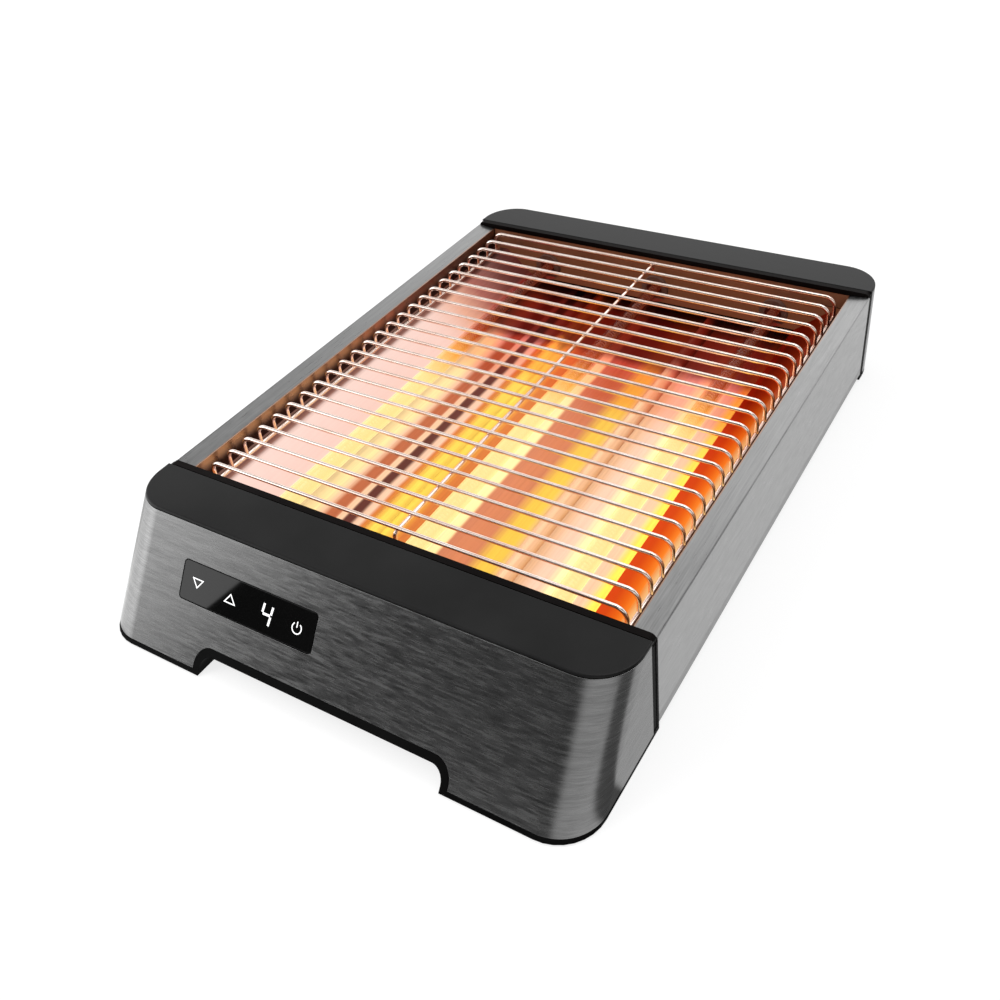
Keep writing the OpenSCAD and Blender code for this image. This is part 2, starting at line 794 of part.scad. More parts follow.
// Disc cut-out clamped to the outside of the rear bulkhead
module thermal_cutout() {
    flange_d = 16;
    flange_t = 5;
    stem_d = 10;
    stem_l = 9;
    lift = 2;
    color(bright_steel) translate([tube_pitch / 2, y_rs, tube_z + lift]) rotate([-90, 0, 0]) {
        cylinder(d = flange_d, h = flange_t);
        cylinder(d = stem_d, h = stem_l);
    }
}

module at_gland() {
    translate([gland_x, -y_back, gland_z]) rotate([-90, 0, 0]) children();
}

// Space that the mouldings leave around the gland
module gland_room() {
    at_gland() cylinder(d = gland_d + 2 * (collar_w + fit_gap), h = gland_l);
}

// Bush for the mains lead, flush in the rear plate
module cord_gland() {
    color(rubber_black) in_end("rear") at_gland() difference() {
        union() {
            cylinder(d = gland_d, h = gland_l);
            translate([0, 0, lap]) cylinder(d = gland_d + 2 * collar_w, h = collar_t);
        }
        translate([0, 0, -cut]) cylinder(d = cord_d, h = gland_l + 2 * cut);
    }
}

// Sleeved leads from the power board along the left side to the terminal block
header_y = y_fs - power_back - header_back - header_size[1] / 2;
lead_z = board_top + header_size[2] / 2;
entry_z = rear_roof + block_size[2] * 2 / 3;
harness_route = [
    [power_x - fit_gap, header_y, lead_z],
    [-harness_x, header_y, lead_z],
    [-harness_x, header_y, harness_z],
    [-harness_x, block_y + block_size[1] / 2, harness_z],
    [-harness_x, block_y + block_size[1] / 2, entry_z],
    [-block_x - fit_gap, block_y + block_size[1] / 2, entry_z]
];

// Straight round run between two points that differ along one axis
module run(a, b) {
    d = b - a;
    turn = [d[1] == 0 ? 0 : 90, d[0] == 0 ? 0 : 90, 0];
    translate((a + b) / 2) rotate(turn) cylinder(d = harness_d, h = norm(d), center = true);
}

module wiring_harness() {
    last = len(harness_route) - 1;
    color("#d9d2c4") {
        for (i = [0 : last - 1]) run(harness_route[i], harness_route[i + 1]);
        for (i = [1 : last - 1]) translate(harness_route[i]) sphere(d = harness_d);
    }
}

module foot(end, side) {
    color(rubber_black) in_end(end) translate([side * foot_x, foot_y(end), 0])
        cylinder(d = foot_d, h = sole_lift + foot_recess);
}

// Pan-head screw with its head above the origin and its shank below
module screw(d, head, length) {
    cylinder(d = head, h = head_h);
    translate([0, 0, -length]) cylinder(d = d, h = length + head_h / 2);
}

module cap_screws() {
    color(bright_steel) for (end = ["front", "rear"]) in_end(end) both_sides()
        translate([post_x, post_y(end), boss_z - screw_seat]) mirror([0, 0, 1])
            screw(screw_d, head_d, screw_seat + screw_grip - cut);
}

module pan_screws() {
    color(bright_steel) pan_screw_places() screw(screw_d, head_d, lug_t + pan_t);
}

module board_screws() {
    color(bright_steel) power_places() translate([0, 0, standoff_h + arch_wall / 2 + board_t])
        screw(board_screw_d, 2 * board_screw_d, standoff_h + board_t);
}

front_cap();
front_base();
front_plate();
rear_cap();
rear_base();
rear_plate();
left_side_panel();
right_side_panel();
base_pan();
left_runner();
right_runner();
crumb_tray();
tray_handle();
tray_rivets();
left_reflector();
right_reflector();
front_bulkhead();
rear_bulkhead();
wire_rack();
quartz_tube(-1);  // quartz_tube_left
quartz_tube(0);  // quartz_tube_centre
quartz_tube(1);  // quartz_tube_right
heater_coil(-1);  // heater_coil_left
heater_coil(0);  // heater_coil_centre
heater_coil(1);  // heater_coil_right
holder("front", -1);  // front_holder_left
holder("front", 0);  // front_holder_centre
holder("front", 1);  // front_holder_right
holder("rear", -1);  // rear_holder_left
holder("rear", 0);  // rear_holder_centre
holder("rear", 1);  // rear_holder_right
front_busbar();
rear_busbar();
control_lens();
control_bracket();
control_board();
display_module();
touch_spring(0);  // touch_spring_down
touch_spring(1);  // touch_spring_up
touch_spring(2);  // touch_spring_power
power_board();
relay();
film_capacitor();
transformer();
wire_header();
terminal_block();
thermal_cutout();
cord_gland();
wiring_harness();
foot("front", -1);  // foot_front_left
foot("front", 1);  // foot_front_right
foot("rear", -1);  // foot_rear_left
foot("rear", 1);  // foot_rear_right
cap_screws();
pan_screws();
board_screws();
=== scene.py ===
"""Flat-bed toaster: finishes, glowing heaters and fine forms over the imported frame."""
import math

import bmesh
import bpy
from mathutils import Matrix, Vector


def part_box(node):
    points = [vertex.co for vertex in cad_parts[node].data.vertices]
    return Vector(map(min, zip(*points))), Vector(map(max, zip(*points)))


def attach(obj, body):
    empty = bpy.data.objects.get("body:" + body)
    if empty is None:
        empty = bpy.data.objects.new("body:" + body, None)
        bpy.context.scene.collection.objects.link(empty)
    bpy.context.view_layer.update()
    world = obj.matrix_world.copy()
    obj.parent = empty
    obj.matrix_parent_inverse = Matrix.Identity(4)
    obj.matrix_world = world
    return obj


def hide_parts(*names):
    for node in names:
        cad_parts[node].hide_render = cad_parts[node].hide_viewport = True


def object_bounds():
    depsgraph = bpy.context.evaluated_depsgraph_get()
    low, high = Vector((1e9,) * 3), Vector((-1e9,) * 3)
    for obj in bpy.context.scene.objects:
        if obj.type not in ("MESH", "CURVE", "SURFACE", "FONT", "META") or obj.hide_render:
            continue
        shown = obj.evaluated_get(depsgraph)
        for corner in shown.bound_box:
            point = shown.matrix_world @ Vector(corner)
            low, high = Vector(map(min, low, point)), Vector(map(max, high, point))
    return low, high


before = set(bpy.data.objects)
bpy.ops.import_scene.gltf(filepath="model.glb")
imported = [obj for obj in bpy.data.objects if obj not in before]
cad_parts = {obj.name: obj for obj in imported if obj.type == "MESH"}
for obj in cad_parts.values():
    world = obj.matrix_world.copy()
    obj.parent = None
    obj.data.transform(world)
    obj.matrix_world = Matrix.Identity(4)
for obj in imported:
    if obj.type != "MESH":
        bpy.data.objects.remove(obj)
cad_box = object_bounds()

MM = 0.001

# Driving sizes of the body, as in the frame
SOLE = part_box("front_base")[0].z
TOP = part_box("front_cap")[1].z
Y_TOE = cad_box[0].y
Y_BACK = cad_box[1].y
SEAM_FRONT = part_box("right_side_panel")[0].y
SEAM_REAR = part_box("right_side_panel")[1].y
Y_MID = (SEAM_FRONT + SEAM_REAR) / 2
HALF_BASE = cad_box[1].x
SIDE_LEAN = 2 * MM
RAKE_RUN = 40.8 * MM
CORNER_R = 22 * MM
CAP_T = 3 * MM
CAP_UNDER = TOP - CAP_T
TRIM_TOP = SOLE + 3 * MM
SHEET = 0.8 * MM
SEAM_STRIP = 1.6 * MM
SHADOW_GAP = 0.3 * MM
RAKE = math.atan2(RAKE_RUN, TOP - SOLE)
TUBE_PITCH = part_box("quartz_tube_right")[0].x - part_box("quartz_tube_centre")[0].x

# Each end's seam with the side panels, and its sense: 1 for the end before its seam, -1 for the one behind
SEAMS = {"front": SEAM_FRONT, "rear": SEAM_REAR}
SENSES = {"front": 1, "rear": -1}


def half_width(z):
    """Half width of the leaning body at a height."""
    return HALF_BASE - SIDE_LEAN * (z - SOLE) / (TOP - SOLE)


def front_face(z):
    """Place of the raked front at a height."""
    return Y_TOE + RAKE_RUN * (z - SOLE) / (TOP - SOLE)


def socket_key(key):
    """A socket's name, or its place where the key is i0, i1 and so on."""
    if key[0] == "i" and key[1:].isdigit():
        return int(key[1:])
    return key.replace("_", " ")


class Wire:
    """A shader socket that adds nodes when it is used in an expression."""

    def __init__(self, tree, socket):
        self.tree = tree
        self.socket = socket

    def add(self, kind, settings=None, out=0, **values):
        """Adds any node; values are keyed by socket name or by i0, i1 for its place."""
        node = self.tree.nodes.new(kind)
        for key, value in (settings or {}).items():
            if key == "stops":
                fill_ramp(node.color_ramp, value)
            else:
                setattr(node, key, value)
        for key, value in values.items():
            target = node.inputs[socket_key(key)]
            if isinstance(value, Wire):
                self.tree.links.new(value.socket, target)
            else:
                target.default_value = value
        return Wire(self.tree, node.outputs[out])

    def math(self, operation, *values, clamp=False):
        sockets = {f"i{place}": value for place, value in enumerate(values)}
        return self.add("ShaderNodeMath", {"operation": operation, "use_clamp": clamp}, **sockets)

    def __add__(self, other):
        return self.math("ADD", self, other)

    def __radd__(self, other):
        return self.math("ADD", other, self)

    def __sub__(self, other):
        return self.math("SUBTRACT", self, other)

    def __rsub__(self, other):
        return self.math("SUBTRACT", other, self)

    def __mul__(self, other):
        return self.math("MULTIPLY", self, other)

    def __rmul__(self, other):
        return self.math("MULTIPLY", other, self)

    def __truediv__(self, other):
        return self.math("DIVIDE", self, other)

    def __rtruediv__(self, other):
        return self.math("DIVIDE", other, self)

    def clamp(self):
        return self.math("ADD", self, 0.0, clamp=True)

    def smooth(self, low, high):
        """0 below low, 1 above high, eased between."""
        settings = {"interpolation_type": "SMOOTHSTEP"}
        return self.add("ShaderNodeMapRange", settings, Value=self, From_Min=low, From_Max=high)

    def ramp(self, stops, **settings):
        return self.add("ShaderNodeValToRGB", {"stops": stops, **settings}, Fac=self)

    def mix(self, first, second):
        """Colour mix with this value as the factor."""
        settings = {"data_type": "RGBA"}
        return self.add("ShaderNodeMix", settings, out=2, i0=self, i6=first, i7=second)

    def tint(self, colour):
        """This colour multiplied by another one."""
        settings = {"data_type": "RGBA", "blend_type": "MULTIPLY"}
        return self.add("ShaderNodeMix", settings, out=2, i0=1.0, i6=self, i7=colour)

    def stretch(self, x, y, z):
        """This vector scaled along its three axes."""
        return self.add("ShaderNodeVectorMath", {"operation": "MULTIPLY"}, i0=self, i1=(x, y, z))

    def split(self):
        """The three parts of this vector."""
        node = self.add("ShaderNodeSeparateXYZ", i0=self).socket.node
        return [Wire(self.tree, socket) for socket in node.outputs]

    def noise(self, scale, detail=2.0, roughness=0.5):
        return self.add("ShaderNodeTexNoise", Vector=self, Scale=scale, Detail=detail, Roughness=roughness)

    def bump(self, strength, distance):
        return self.add("ShaderNodeBump", Height=self, Strength=strength, Distance=distance)


def source(tree, kind, out):
    """Wire from a node that has no inputs."""
    return Wire(tree, tree.nodes.new(kind).outputs[out])


def fill_ramp(ramp, stops):
    """Gives a colour ramp its stops, each a place and a colour."""
    while len(ramp.elements) > 1:
        ramp.elements.remove(ramp.elements[-1])
    ramp.elements[0].position = stops[0][0]
    for place, _ in stops[1:]:
        ramp.elements.new(place)
    for element, (_, colour) in zip(ramp.elements, stops):
        element.color = (*colour, 1.0)


class Finish:
    """A material with a Principled shader, fed by name."""

    def __init__(self, name, **constants):
        self.material = bpy.data.materials.new(name)
        self.material.use_nodes = True
        self.tree = self.material.node_tree
        self.shader = self.tree.nodes["Principled BSDF"]
        self.set(**constants)
        self.place = source(self.tree, "ShaderNodeTexCoord", "Object")
        self.x, self.y, self.z = self.place.split()

    def set(self, **values):
        for key, value in values.items():
            socket = self.shader.inputs[socket_key(key)]
            if isinstance(value, Wire):
                self.tree.links.new(value.socket, socket)
            else:
                socket.default_value = value


def grey(level):
    return (level, level, level)


def solid(colour):
    return (*colour, 1.0)


def satin_plastic(name, colour, roughness, gloss=0.5):
    """Moulded plastic with a fine spark-eroded grain and faint handling marks."""
    f = Finish(name, IOR=1.47, Specular_IOR_Level=gloss)
    grain = f.place.noise(2600.0, 2.0)
    cloud = f.place.noise(24.0, 3.0)
    lift = tuple(min(1.0, level * 1.5 + 0.003) for level in colour)
    f.set(Base_Color=cloud.smooth(0.25, 0.75).mix(solid(colour), solid(lift)))
    f.set(Roughness=roughness - 0.05 + 0.10 * cloud + 0.05 * grain)
    f.set(Normal=grain.bump(0.12, 0.05 * MM))
    return f.material


# Places on the side panels, their colours in the well, darker brown towards its foot, the painted shade in
# the crease of their upper fold, how dark it is at the front and how much it loses towards the rear, and
# the painted shadow along their lower hem
RIM_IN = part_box("right_side_panel")[0].x
SIDE_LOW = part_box("right_side_panel")[0].z
SIDE_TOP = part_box("right_side_panel")[1].z
FOLD_X = half_width(SIDE_TOP)
WELL_TOP_BROWN = (0.40, 0.27, 0.21)
WELL_FOOT_BROWN = (0.09, 0.055, 0.045)
FOLD_PAINTED_SHADE = 0.50
FOLD_SHADE_LOSS = 0.30
HEM_PAINTED_SHADOW = 0.32


def side_colour_and_painted_shade(f, bare):
    """Colour of a side panel: brown in the well and darker towards its foot there, with painted shade along
    its upper fold and painted shadow along its lower hem.
    """
    out = f.x.math("ABSOLUTE", f.x)
    at_edge = out.smooth(FOLD_X - 0.9 * MM, FOLD_X - 0.5 * MM)
    at_top = f.z.smooth(SIDE_TOP - 0.6 * MM, SIDE_TOP - 0.3 * MM)
    # painted shade in the crease of the upper fold, weaker towards the rear
    fold = at_edge * at_top * (FOLD_PAINTED_SHADE - FOLD_SHADE_LOSS * f.y.smooth(SEAM_FRONT, SEAM_REAR))
    # painted shadow along the lower hem
    hem = HEM_PAINTED_SHADOW * (1.0 - f.z.smooth(SIDE_LOW + 4.5 * MM, SIDE_LOW + 6.5 * MM))
    fold_and_hem_shaded = (fold + hem).mix(bare, solid(grey(0.02)))
    # in the well: darker brown towards the foot, paler brown near the top
    well_brown = f.z.smooth(TOP - 11 * MM, TOP - 5 * MM).mix(solid(WELL_FOOT_BROWN), solid(WELL_TOP_BROWN))
    return out.smooth(RIM_IN + 0.4 * MM, RIM_IN + 1.0 * MM).mix(well_brown, fold_and_hem_shaded)


def brushed_steel(name, dark, light, along, roughness, flecked, edge=1.0, shades=None):
    """Brushed sheet: long streaks along one direction in three widths, and short flecks among them."""
    f = Finish(name, Metallic=1.0, Specular_Tint=solid(grey(edge)))
    fine, wide, long = (
        f.place.stretch(*along(count)).noise(1.0, 3.0, 0.6) for count in (3200.0, 1100.0, 300.0)
    )
    streak = 0.45 * fine + 0.38 * wide + 0.17 * long
    fleck = f.place.stretch(*along(950.0, 8.0)).noise(1.0, 2.0, 0.5) - 0.5
    bare = (streak + 0.4 * flecked * fleck).smooth(0.34, 0.66).mix(solid(dark), solid(light))
    f.set(Base_Color=shades(f, bare) if shades else bare)
    f.set(Roughness=roughness + 0.22 * (streak - 0.5) + flecked * fleck)
    f.set(Normal=streak.bump(0.22, 0.04 * MM))
    return f.material


def level_grain(count, drawn=26.0):
    """Streaks that run level around an end."""
    return (count / drawn, count / drawn, count)


def length_grain(count, drawn=60.0):
    """Streaks that run along the body."""
    return (count, count / drawn, count)


def glow_fade(f, start, end):
    """1 over the front of the well, falling to nothing between two places along it."""
    return 1.0 - f.y.smooth(start * MM, end * MM)


def banded(f, stops, span):
    """Colours at places across the body, with a slight wander."""
    wander = f.place.noise(26.0, 2.0) - 0.5
    across = (f.x + 3 * MM * wander) / span + 0.5
    return across.ramp([(mm * MM / span + 0.5, colour) for mm, colour in stops])


# Colours of the tray's floor in bands from its left edge to its right edge: partly heat tint and partly
# painted glow and painted reflections of the heaters, pale near the tubes, with a painted dark reflection
# between two pale rose lines
PALE = (0.75, 0.68, 0.42)
STRAW = (0.72, 0.60, 0.11)
GOLD = (0.56, 0.43, 0.07)
AMBER = (0.55, 0.29, 0.05)
COPPER = (0.43, 0.145, 0.035)
SALMON = (0.39, 0.165, 0.11)
PEACH = (0.52, 0.36, 0.25)
RUST = (0.30, 0.10, 0.06)
PALE_ROSE = (0.58, 0.45, 0.40)
DARK_REFLECTION = (0.075, 0.02, 0.022)
TRAY_TINTS = [
    (-96, PALE), (-80, PALE), (-75, PALE_ROSE), (-71, RUST), (-65, RUST), (-64, PALE_ROSE), (-61, PALE_ROSE),
    (-60, DARK_REFLECTION), (-55, DARK_REFLECTION), (-53, PALE_ROSE), (-50, PALE_ROSE), (-48, COPPER), (-42, AMBER), (-34, STRAW),
    (-28, AMBER), (-24, COPPER), (-15, COPPER), (-12, PALE), (-1, PALE), (1, SALMON), (18, SALMON),
    (25, GOLD), (32, GOLD), (37, PEACH), (48, PEACH), (54, PALE_ROSE), (59, PALE_ROSE), (64, PALE), (75, PALE),
    (79, PALE_ROSE), (83, PALE_ROSE), (87, STRAW),
]
TRAY_SPAN = 200 * MM
# Painted shade towards the rear, where the heaters' glow fades: where it starts and is full, the wander of
# its edge, and its brown
REAR_SHADE_FROM = 94 * MM
REAR_SHADE_TO = 114 * MM
REAR_SHADE_EDGE = 24 * MM
REAR_SHADE_BROWN = (0.16, 0.07, 0.05)
ROLLED = (900.0, 14.0, 900.0)


def tinted_tray(name):
    """Plated tray in bands along the tubes, partly heat tint and partly painted glow and reflections, with
    painted shade in a burnt brown towards the rear.
    """
    f = Finish(name, Metallic=0.9)
    streak = f.place.stretch(*ROLLED).noise(1.0, 3.0)
    blotch = f.place.noise(40.0, 4.0)
    shade = streak.smooth(0.2, 0.8).mix(solid(grey(0.82)), solid(grey(1.0)))
    # painted shade at the rear, where the heaters' glow fades
    rear_shade = (f.y + REAR_SHADE_EDGE * (blotch - 0.5)).smooth(REAR_SHADE_FROM, REAR_SHADE_TO)
    rear_shade_tint = rear_shade.mix(solid(grey(1.0)), solid(REAR_SHADE_BROWN))
    f.set(Base_Color=banded(f, TRAY_TINTS, TRAY_SPAN).tint(shade).tint(rear_shade_tint))
    f.set(Roughness=0.34 + 0.14 * streak, Normal=streak.bump(0.15, 0.03 * MM))
    return f.material


def sheet_with_painted_glow(name, glow, base, strength, fade):
    """Bright sheet beside the tubes with the tubes' glow painted on it as emission, fading to the rear; its
    base and the tint of its reflections also lean to the glow's colour.
    """
    edge = [level / max(base) for level in base]
    f = Finish(
        name, Metallic=0.8, Emission_Strength=strength, Specular_Tint=solid(edge), Specular_IOR_Level=0.2
    )
    glow_fall_off = glow_fade(f, *fade).ramp([
        (0.0, (0.065, 0.012, 0.012)),
        (0.35, (0.34, 0.10, 0.08)),
        (0.7, (0.85, 0.60, 0.45)),
        (1.0, (1.0, 1.0, 1.0)),
    ])
    streak = f.place.stretch(*ROLLED).noise(1.0, 3.0)
    # painted glow of the heaters, given as emission
    f.set(Emission_Color=banded(f, glow, 2 * HALF_BASE).tint(glow_fall_off))
    f.set(Base_Color=streak.smooth(0.3, 0.7).mix(solid(base), solid([level * 1.3 for level in base])))
    f.set(Roughness=0.28 + 0.14 * streak, Normal=streak.bump(0.15, 0.03 * MM))
    return f.material


def chrome_wire(name):
    """Chromed wire with a warm pink tint in uneven patches, which paints the heaters' glow into its
    reflections.
    """
    f = Finish(name, Metallic=1.0)
    stain = f.place.noise(60.0, 3.0)
    # pink tint: painted glow in the reflections
    f.set(Base_Color=stain.smooth(0.35, 0.75).mix(solid((1.0, 0.87, 0.80)), solid((0.88, 0.64, 0.54))))
    f.set(Roughness=0.14 + 0.12 * stain)
    return f.material


def quartz_glass(name):
    """Quartz tube that carries the light of its coil, from yellow at the front to dull red."""
    f = Finish(name, IOR=1.46, Emission_Strength=1.0)
    cloud = f.place.stretch(120.0, 30.0, 120.0).noise(1.0, 3.0)
    glow = glow_fade(f, 5, 115)
    f.set(Base_Color=glow.mix(solid((0.05, 0.012, 0.008)), solid((0.14, 0.09, 0.06))))
    f.set(Emission_Color=glow.ramp([
        (0.0, (0.04, 0.003, 0.001)),
        (0.35, (0.45, 0.05, 0.008)),
        (0.7, (1.0, 0.42, 0.06)),
        (1.0, (1.0, 0.78, 0.30)),
    ]))
    f.set(Alpha=0.12 + 0.34 * glow + 0.12 * cloud, Roughness=0.06 + 0.10 * cloud)
    return f.material


def hot_wire(name):
    """Resistance wire from yellow-hot at the front to dull red at the rear."""
    f = Finish(name, Emission_Strength=0.7, Roughness=0.7)
    flicker = f.place.noise(180.0, 2.0)
    fade = (glow_fade(f, 5, 115) + 0.3 * (flicker - 0.5)).clamp()
    f.set(Emission_Color=fade.ramp([
        (0.0, (0.10, 0.006, 0.001)),
        (0.4, (0.50, 0.06, 0.008)),
        (0.8, (1.0, 0.50, 0.10)),
        (1.0, (1.0, 0.80, 0.35)),
    ]))
    f.set(Base_Color=flicker.mix(solid((0.20, 0.09, 0.05)), solid((0.30, 0.14, 0.08))))
    f.material.cycles.emission_sampling = "NONE"
    return f.material


def fired_ceramic(name):
    """Unglazed holder, browned by heat."""
    f = Finish(name, IOR=1.5)
    speck = f.place.noise(700.0, 4.0)
    soot = f.place.noise(90.0, 3.0)
    f.set(Base_Color=soot.smooth(0.35, 0.8).mix(solid((0.15, 0.075, 0.055)), solid((0.07, 0.03, 0.022))))
    f.set(Roughness=0.6 + 0.25 * speck, Normal=speck.bump(0.3, 0.06 * MM))
    return f.material


def gloss_lens(name):
    """Polished black touch panel with the least dust on it."""
    f = Finish(name, IOR=1.5)
    dust = f.place.noise(900.0, 3.0)
    smear = f.place.stretch(30.0, 60.0, 60.0).noise(1.0, 3.0)
    f.set(Base_Color=dust.smooth(0.62, 0.85).mix(solid(grey(0.003)), solid(grey(0.012))))
    f.set(Roughness=0.015 + 0.02 * smear)
    return f.material


def lit_print(name):
    """Back-lit white symbols."""
    f = Finish(name, Emission_Strength=1.0, Roughness=0.4)
    even = f.place.noise(400.0, 2.0)
    f.set(Emission_Color=even.mix(solid((0.86, 0.88, 0.90)), solid((1.0, 1.0, 1.0))))
    f.set(Base_Color=even.mix(solid(grey(0.6)), solid(grey(0.7))))
    return f.material


def plain_metal(name, dark, light, roughness):
    """Plated sheet or screws with a faint spangle."""
    f = Finish(name, Metallic=1.0)
    spangle = f.place.noise(420.0, 3.0)
    f.set(Base_Color=spangle.mix(solid(dark), solid(light)))
    f.set(Roughness=roughness - 0.06 + 0.16 * spangle, Normal=spangle.bump(0.08, 0.03 * MM))
    return f.material


def dull_rubber(name):
    """Matt moulded rubber."""
    f = Finish(name, IOR=1.45)
    speck = f.place.noise(1500.0, 3.0)
    f.set(Base_Color=speck.mix(solid(grey(0.010)), solid(grey(0.026))))
    f.set(Roughness=0.74 + 0.2 * speck, Normal=speck.bump(0.3, 0.05 * MM))
    return f.material


def circuit_board(name):
    """Green board with paler tracks."""
    f = Finish(name, IOR=1.5)
    settings = {"wave_type": "BANDS", "bands_direction": "X"}
    tracks = f.place.add("ShaderNodeTexWave", settings, out=1, Vector=f.place, Scale=160.0, Distortion=9.0)
    track = tracks.smooth(0.6, 0.7)
    f.set(Base_Color=track.mix(solid((0.010, 0.075, 0.028)), solid((0.030, 0.150, 0.060))))
    f.set(Roughness=0.35 + 0.15 * track, Normal=track.bump(0.3, 0.05 * MM))
    return f.material


def braided_sleeve(name):
    """Glass-fibre sleeve of the wiring."""
    f = Finish(name, IOR=1.45)
    weave = f.place.noise(1300.0, 2.0)
    f.set(Base_Color=weave.mix(solid((0.45, 0.41, 0.34)), solid((0.74, 0.70, 0.62))))
    f.set(Roughness=0.8 + 0.15 * weave, Normal=weave.bump(0.5, 0.1 * MM))
    return f.material


black_plastic = satin_plastic("satin_black_plastic", grey(0.006), 0.36, 0.19)
trim_plastic = satin_plastic("trim_black_plastic", grey(0.0012), 0.55, 0.05)
# Frame along the well: black made darker than the caps, with a red cast, as painted shade and painted glow
# along the well's edge
frame_plastic = satin_plastic("frame_plastic_painted_shade", (0.0022, 0.0012, 0.0011), 0.50, 0.05)
orange_brown_plastic = satin_plastic("orange_brown_well_wall", (0.20, 0.085, 0.045), 0.50, 0.20)
inner_plastic = satin_plastic("plain_inner_plastic", grey(0.10), 0.50)
case_plastic = satin_plastic("component_case", (0.03, 0.06, 0.20), 0.42)
plate_steel = brushed_steel("dark_brushed_plate", grey(0.18), grey(0.27), level_grain, 0.25, 0.24, edge=0.8)
side_steel = brushed_steel(
    "light_brushed_side", grey(0.265), grey(0.355), length_grain, 0.34, 0.30, shades=side_colour_and_painted_shade
)
wire_chrome = chrome_wire("rack_chrome")
quartz = quartz_glass("glowing_quartz")
heating_wire = hot_wire("heating_wire")
ceramic = fired_ceramic("browned_ceramic")
lens_black = gloss_lens("gloss_touch_panel")
symbol_white = lit_print("lit_symbols")
zinc = plain_metal("zinc_plate", (0.46, 0.46, 0.47), (0.62, 0.62, 0.62), 0.34)
pan_sheet = plain_metal("plated_pan_sheet", (0.40, 0.40, 0.41), (0.50, 0.50, 0.50), 0.42)
brass_strip = plain_metal("brass_strip", (0.55, 0.40, 0.18), (0.68, 0.52, 0.26), 0.36)
rubber = dull_rubber("matt_rubber")
board = circuit_board("circuit_board")
sleeve = braided_sleeve("braided_sleeve")
tray_sheet = tinted_tray("tray_tint_and_painted_glow")
# Painted glow on the slopes and walls of the well, given as emission: places across in millimetres, and
# colours
LEFT_GLOW = [
    (-125, (0.16, 0.08, 0.06)),
    (-115, (0.20, 0.09, 0.07)),
    (-112, (0.95, 0.70, 0.62)),
    (-92, (0.95, 0.62, 0.52)),
]
RIGHT_GLOW = [
    (92, (0.58, 0.05, 0.0)),
    (100, (0.62, 0.065, 0.001)),
    (107, (0.80, 0.14, 0.002)),
    (112, (0.95, 0.27, 0.02)),
    (116, (1.0, 0.70, 0.32)),
]
left_slope_sheet = sheet_with_painted_glow("left_slope_painted_glow", LEFT_GLOW, (0.14, 0.09, 0.08), 0.90, (60, 160))
right_slope_sheet = sheet_with_painted_glow("right_slope_painted_glow", RIGHT_GLOW, (0.09, 0.015, 0.004), 0.85, (-30, 150))
FRONT_WALL_GLOW = [(-100, (0.50, 0.14, 0.03)), (100, (0.50, 0.14, 0.03))]
REAR_WALL_GLOW = [(-100, (0.095, 0.032, 0.014)), (100, (0.095, 0.032, 0.014))]
LIT_ALL_OVER = (400, 500)
front_wall_sheet = sheet_with_painted_glow("front_wall_painted_glow", FRONT_WALL_GLOW, (0.08, 0.04, 0.03), 1.0, LIT_ALL_OVER)
rear_wall_sheet = sheet_with_painted_glow("rear_wall_painted_glow", REAR_WALL_GLOW, (0.08, 0.04, 0.03), 1.0, LIT_ALL_OVER)


def mesh_object(name, mesh):
    piece = bpy.data.objects.new(name, mesh)
    bpy.context.scene.collection.objects.link(piece)
    return piece


def from_bmesh(name, bm):
    """Closes up a bmesh as an object with its faces outwards."""
    bmesh.ops.remove_doubles(bm, verts=bm.verts, dist=0.001 * MM)
    bmesh.ops.recalc_face_normals(bm, faces=bm.faces)
    mesh = bpy.data.meshes.new(name)
    bm.to_mesh(mesh)
    bm.free()
    return mesh_object(name, mesh)


def settle(piece):
    """Turns a piece's modifiers into plain mesh."""
    graph = bpy.context.evaluated_depsgraph_get()
    mesh = bpy.data.meshes.new_from_object(piece.evaluated_get(graph))
    piece.modifiers.clear()
    old, piece.data = piece.data, mesh
    mesh.name = piece.name
    bpy.data.meshes.remove(old)
    return piece


def combine(piece, tool, operation):
    """Boolean of two closed pieces; the tool is used up."""
    step = piece.modifiers.new(operation, "BOOLEAN")
    step.operation = operation
    step.solver = "EXACT"
    step.object = tool
    settle(piece)
    bpy.data.objects.remove(tool)
    return piece


ROUND_STEPS = 2
ROUND_ANGLE = 35.0


def round_edges(piece, width):
    """Rounds the edges that turn by more than a slight bend."""
    step = piece.modifiers.new("round", "BEVEL")
    step.width = width
    step.segments = ROUND_STEPS
    step.limit_method = "ANGLE"
    step.angle_limit = math.radians(ROUND_ANGLE)
    return settle(piece)


def shade(piece, angle=32.0):
    """Smooth faces with creases kept and flat faces left flat."""
    piece.data.shade_smooth()
    piece.data.set_sharp_from_angle(angle=math.radians(angle))
    step = piece.modifiers.new("level", "WEIGHTED_NORMAL")
    step.keep_sharp = True
    return settle(piece)


def dress(piece, material, replaced=(), body="body"):
    """Gives a finished piece its material and body, and hides the frame parts it replaces."""
    piece.data.materials.clear()
    piece.data.materials.append(material)
    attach(piece, body)
    if replaced:
        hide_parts(*replaced)
    return piece


def add_skin(bm, rings):
    """Closed skin through rings of points."""
    rows = [[bm.verts.new(point) for point in ring] for ring in rings]
    count = len(rows[0])
    for low, high in zip(rows, rows[1:]):
        for i in range(count):
            j = (i + 1) % count
            bm.faces.new((low[i], low[j], high[j], high[i]))
    bm.faces.new(rows[0][::-1])
    bm.faces.new(rows[-1])


def loft(name, rings):
    """Piece with a closed skin through rings of points."""
    bm = bmesh.new()
    add_skin(bm, rings)
    return from_bmesh(name, bm)


def prism(name, outline, base, top):
    """Closed prism between two maps of a flat outline."""
    return loft(name, [[base(*p) for p in outline], [top(*p) for p in outline]])


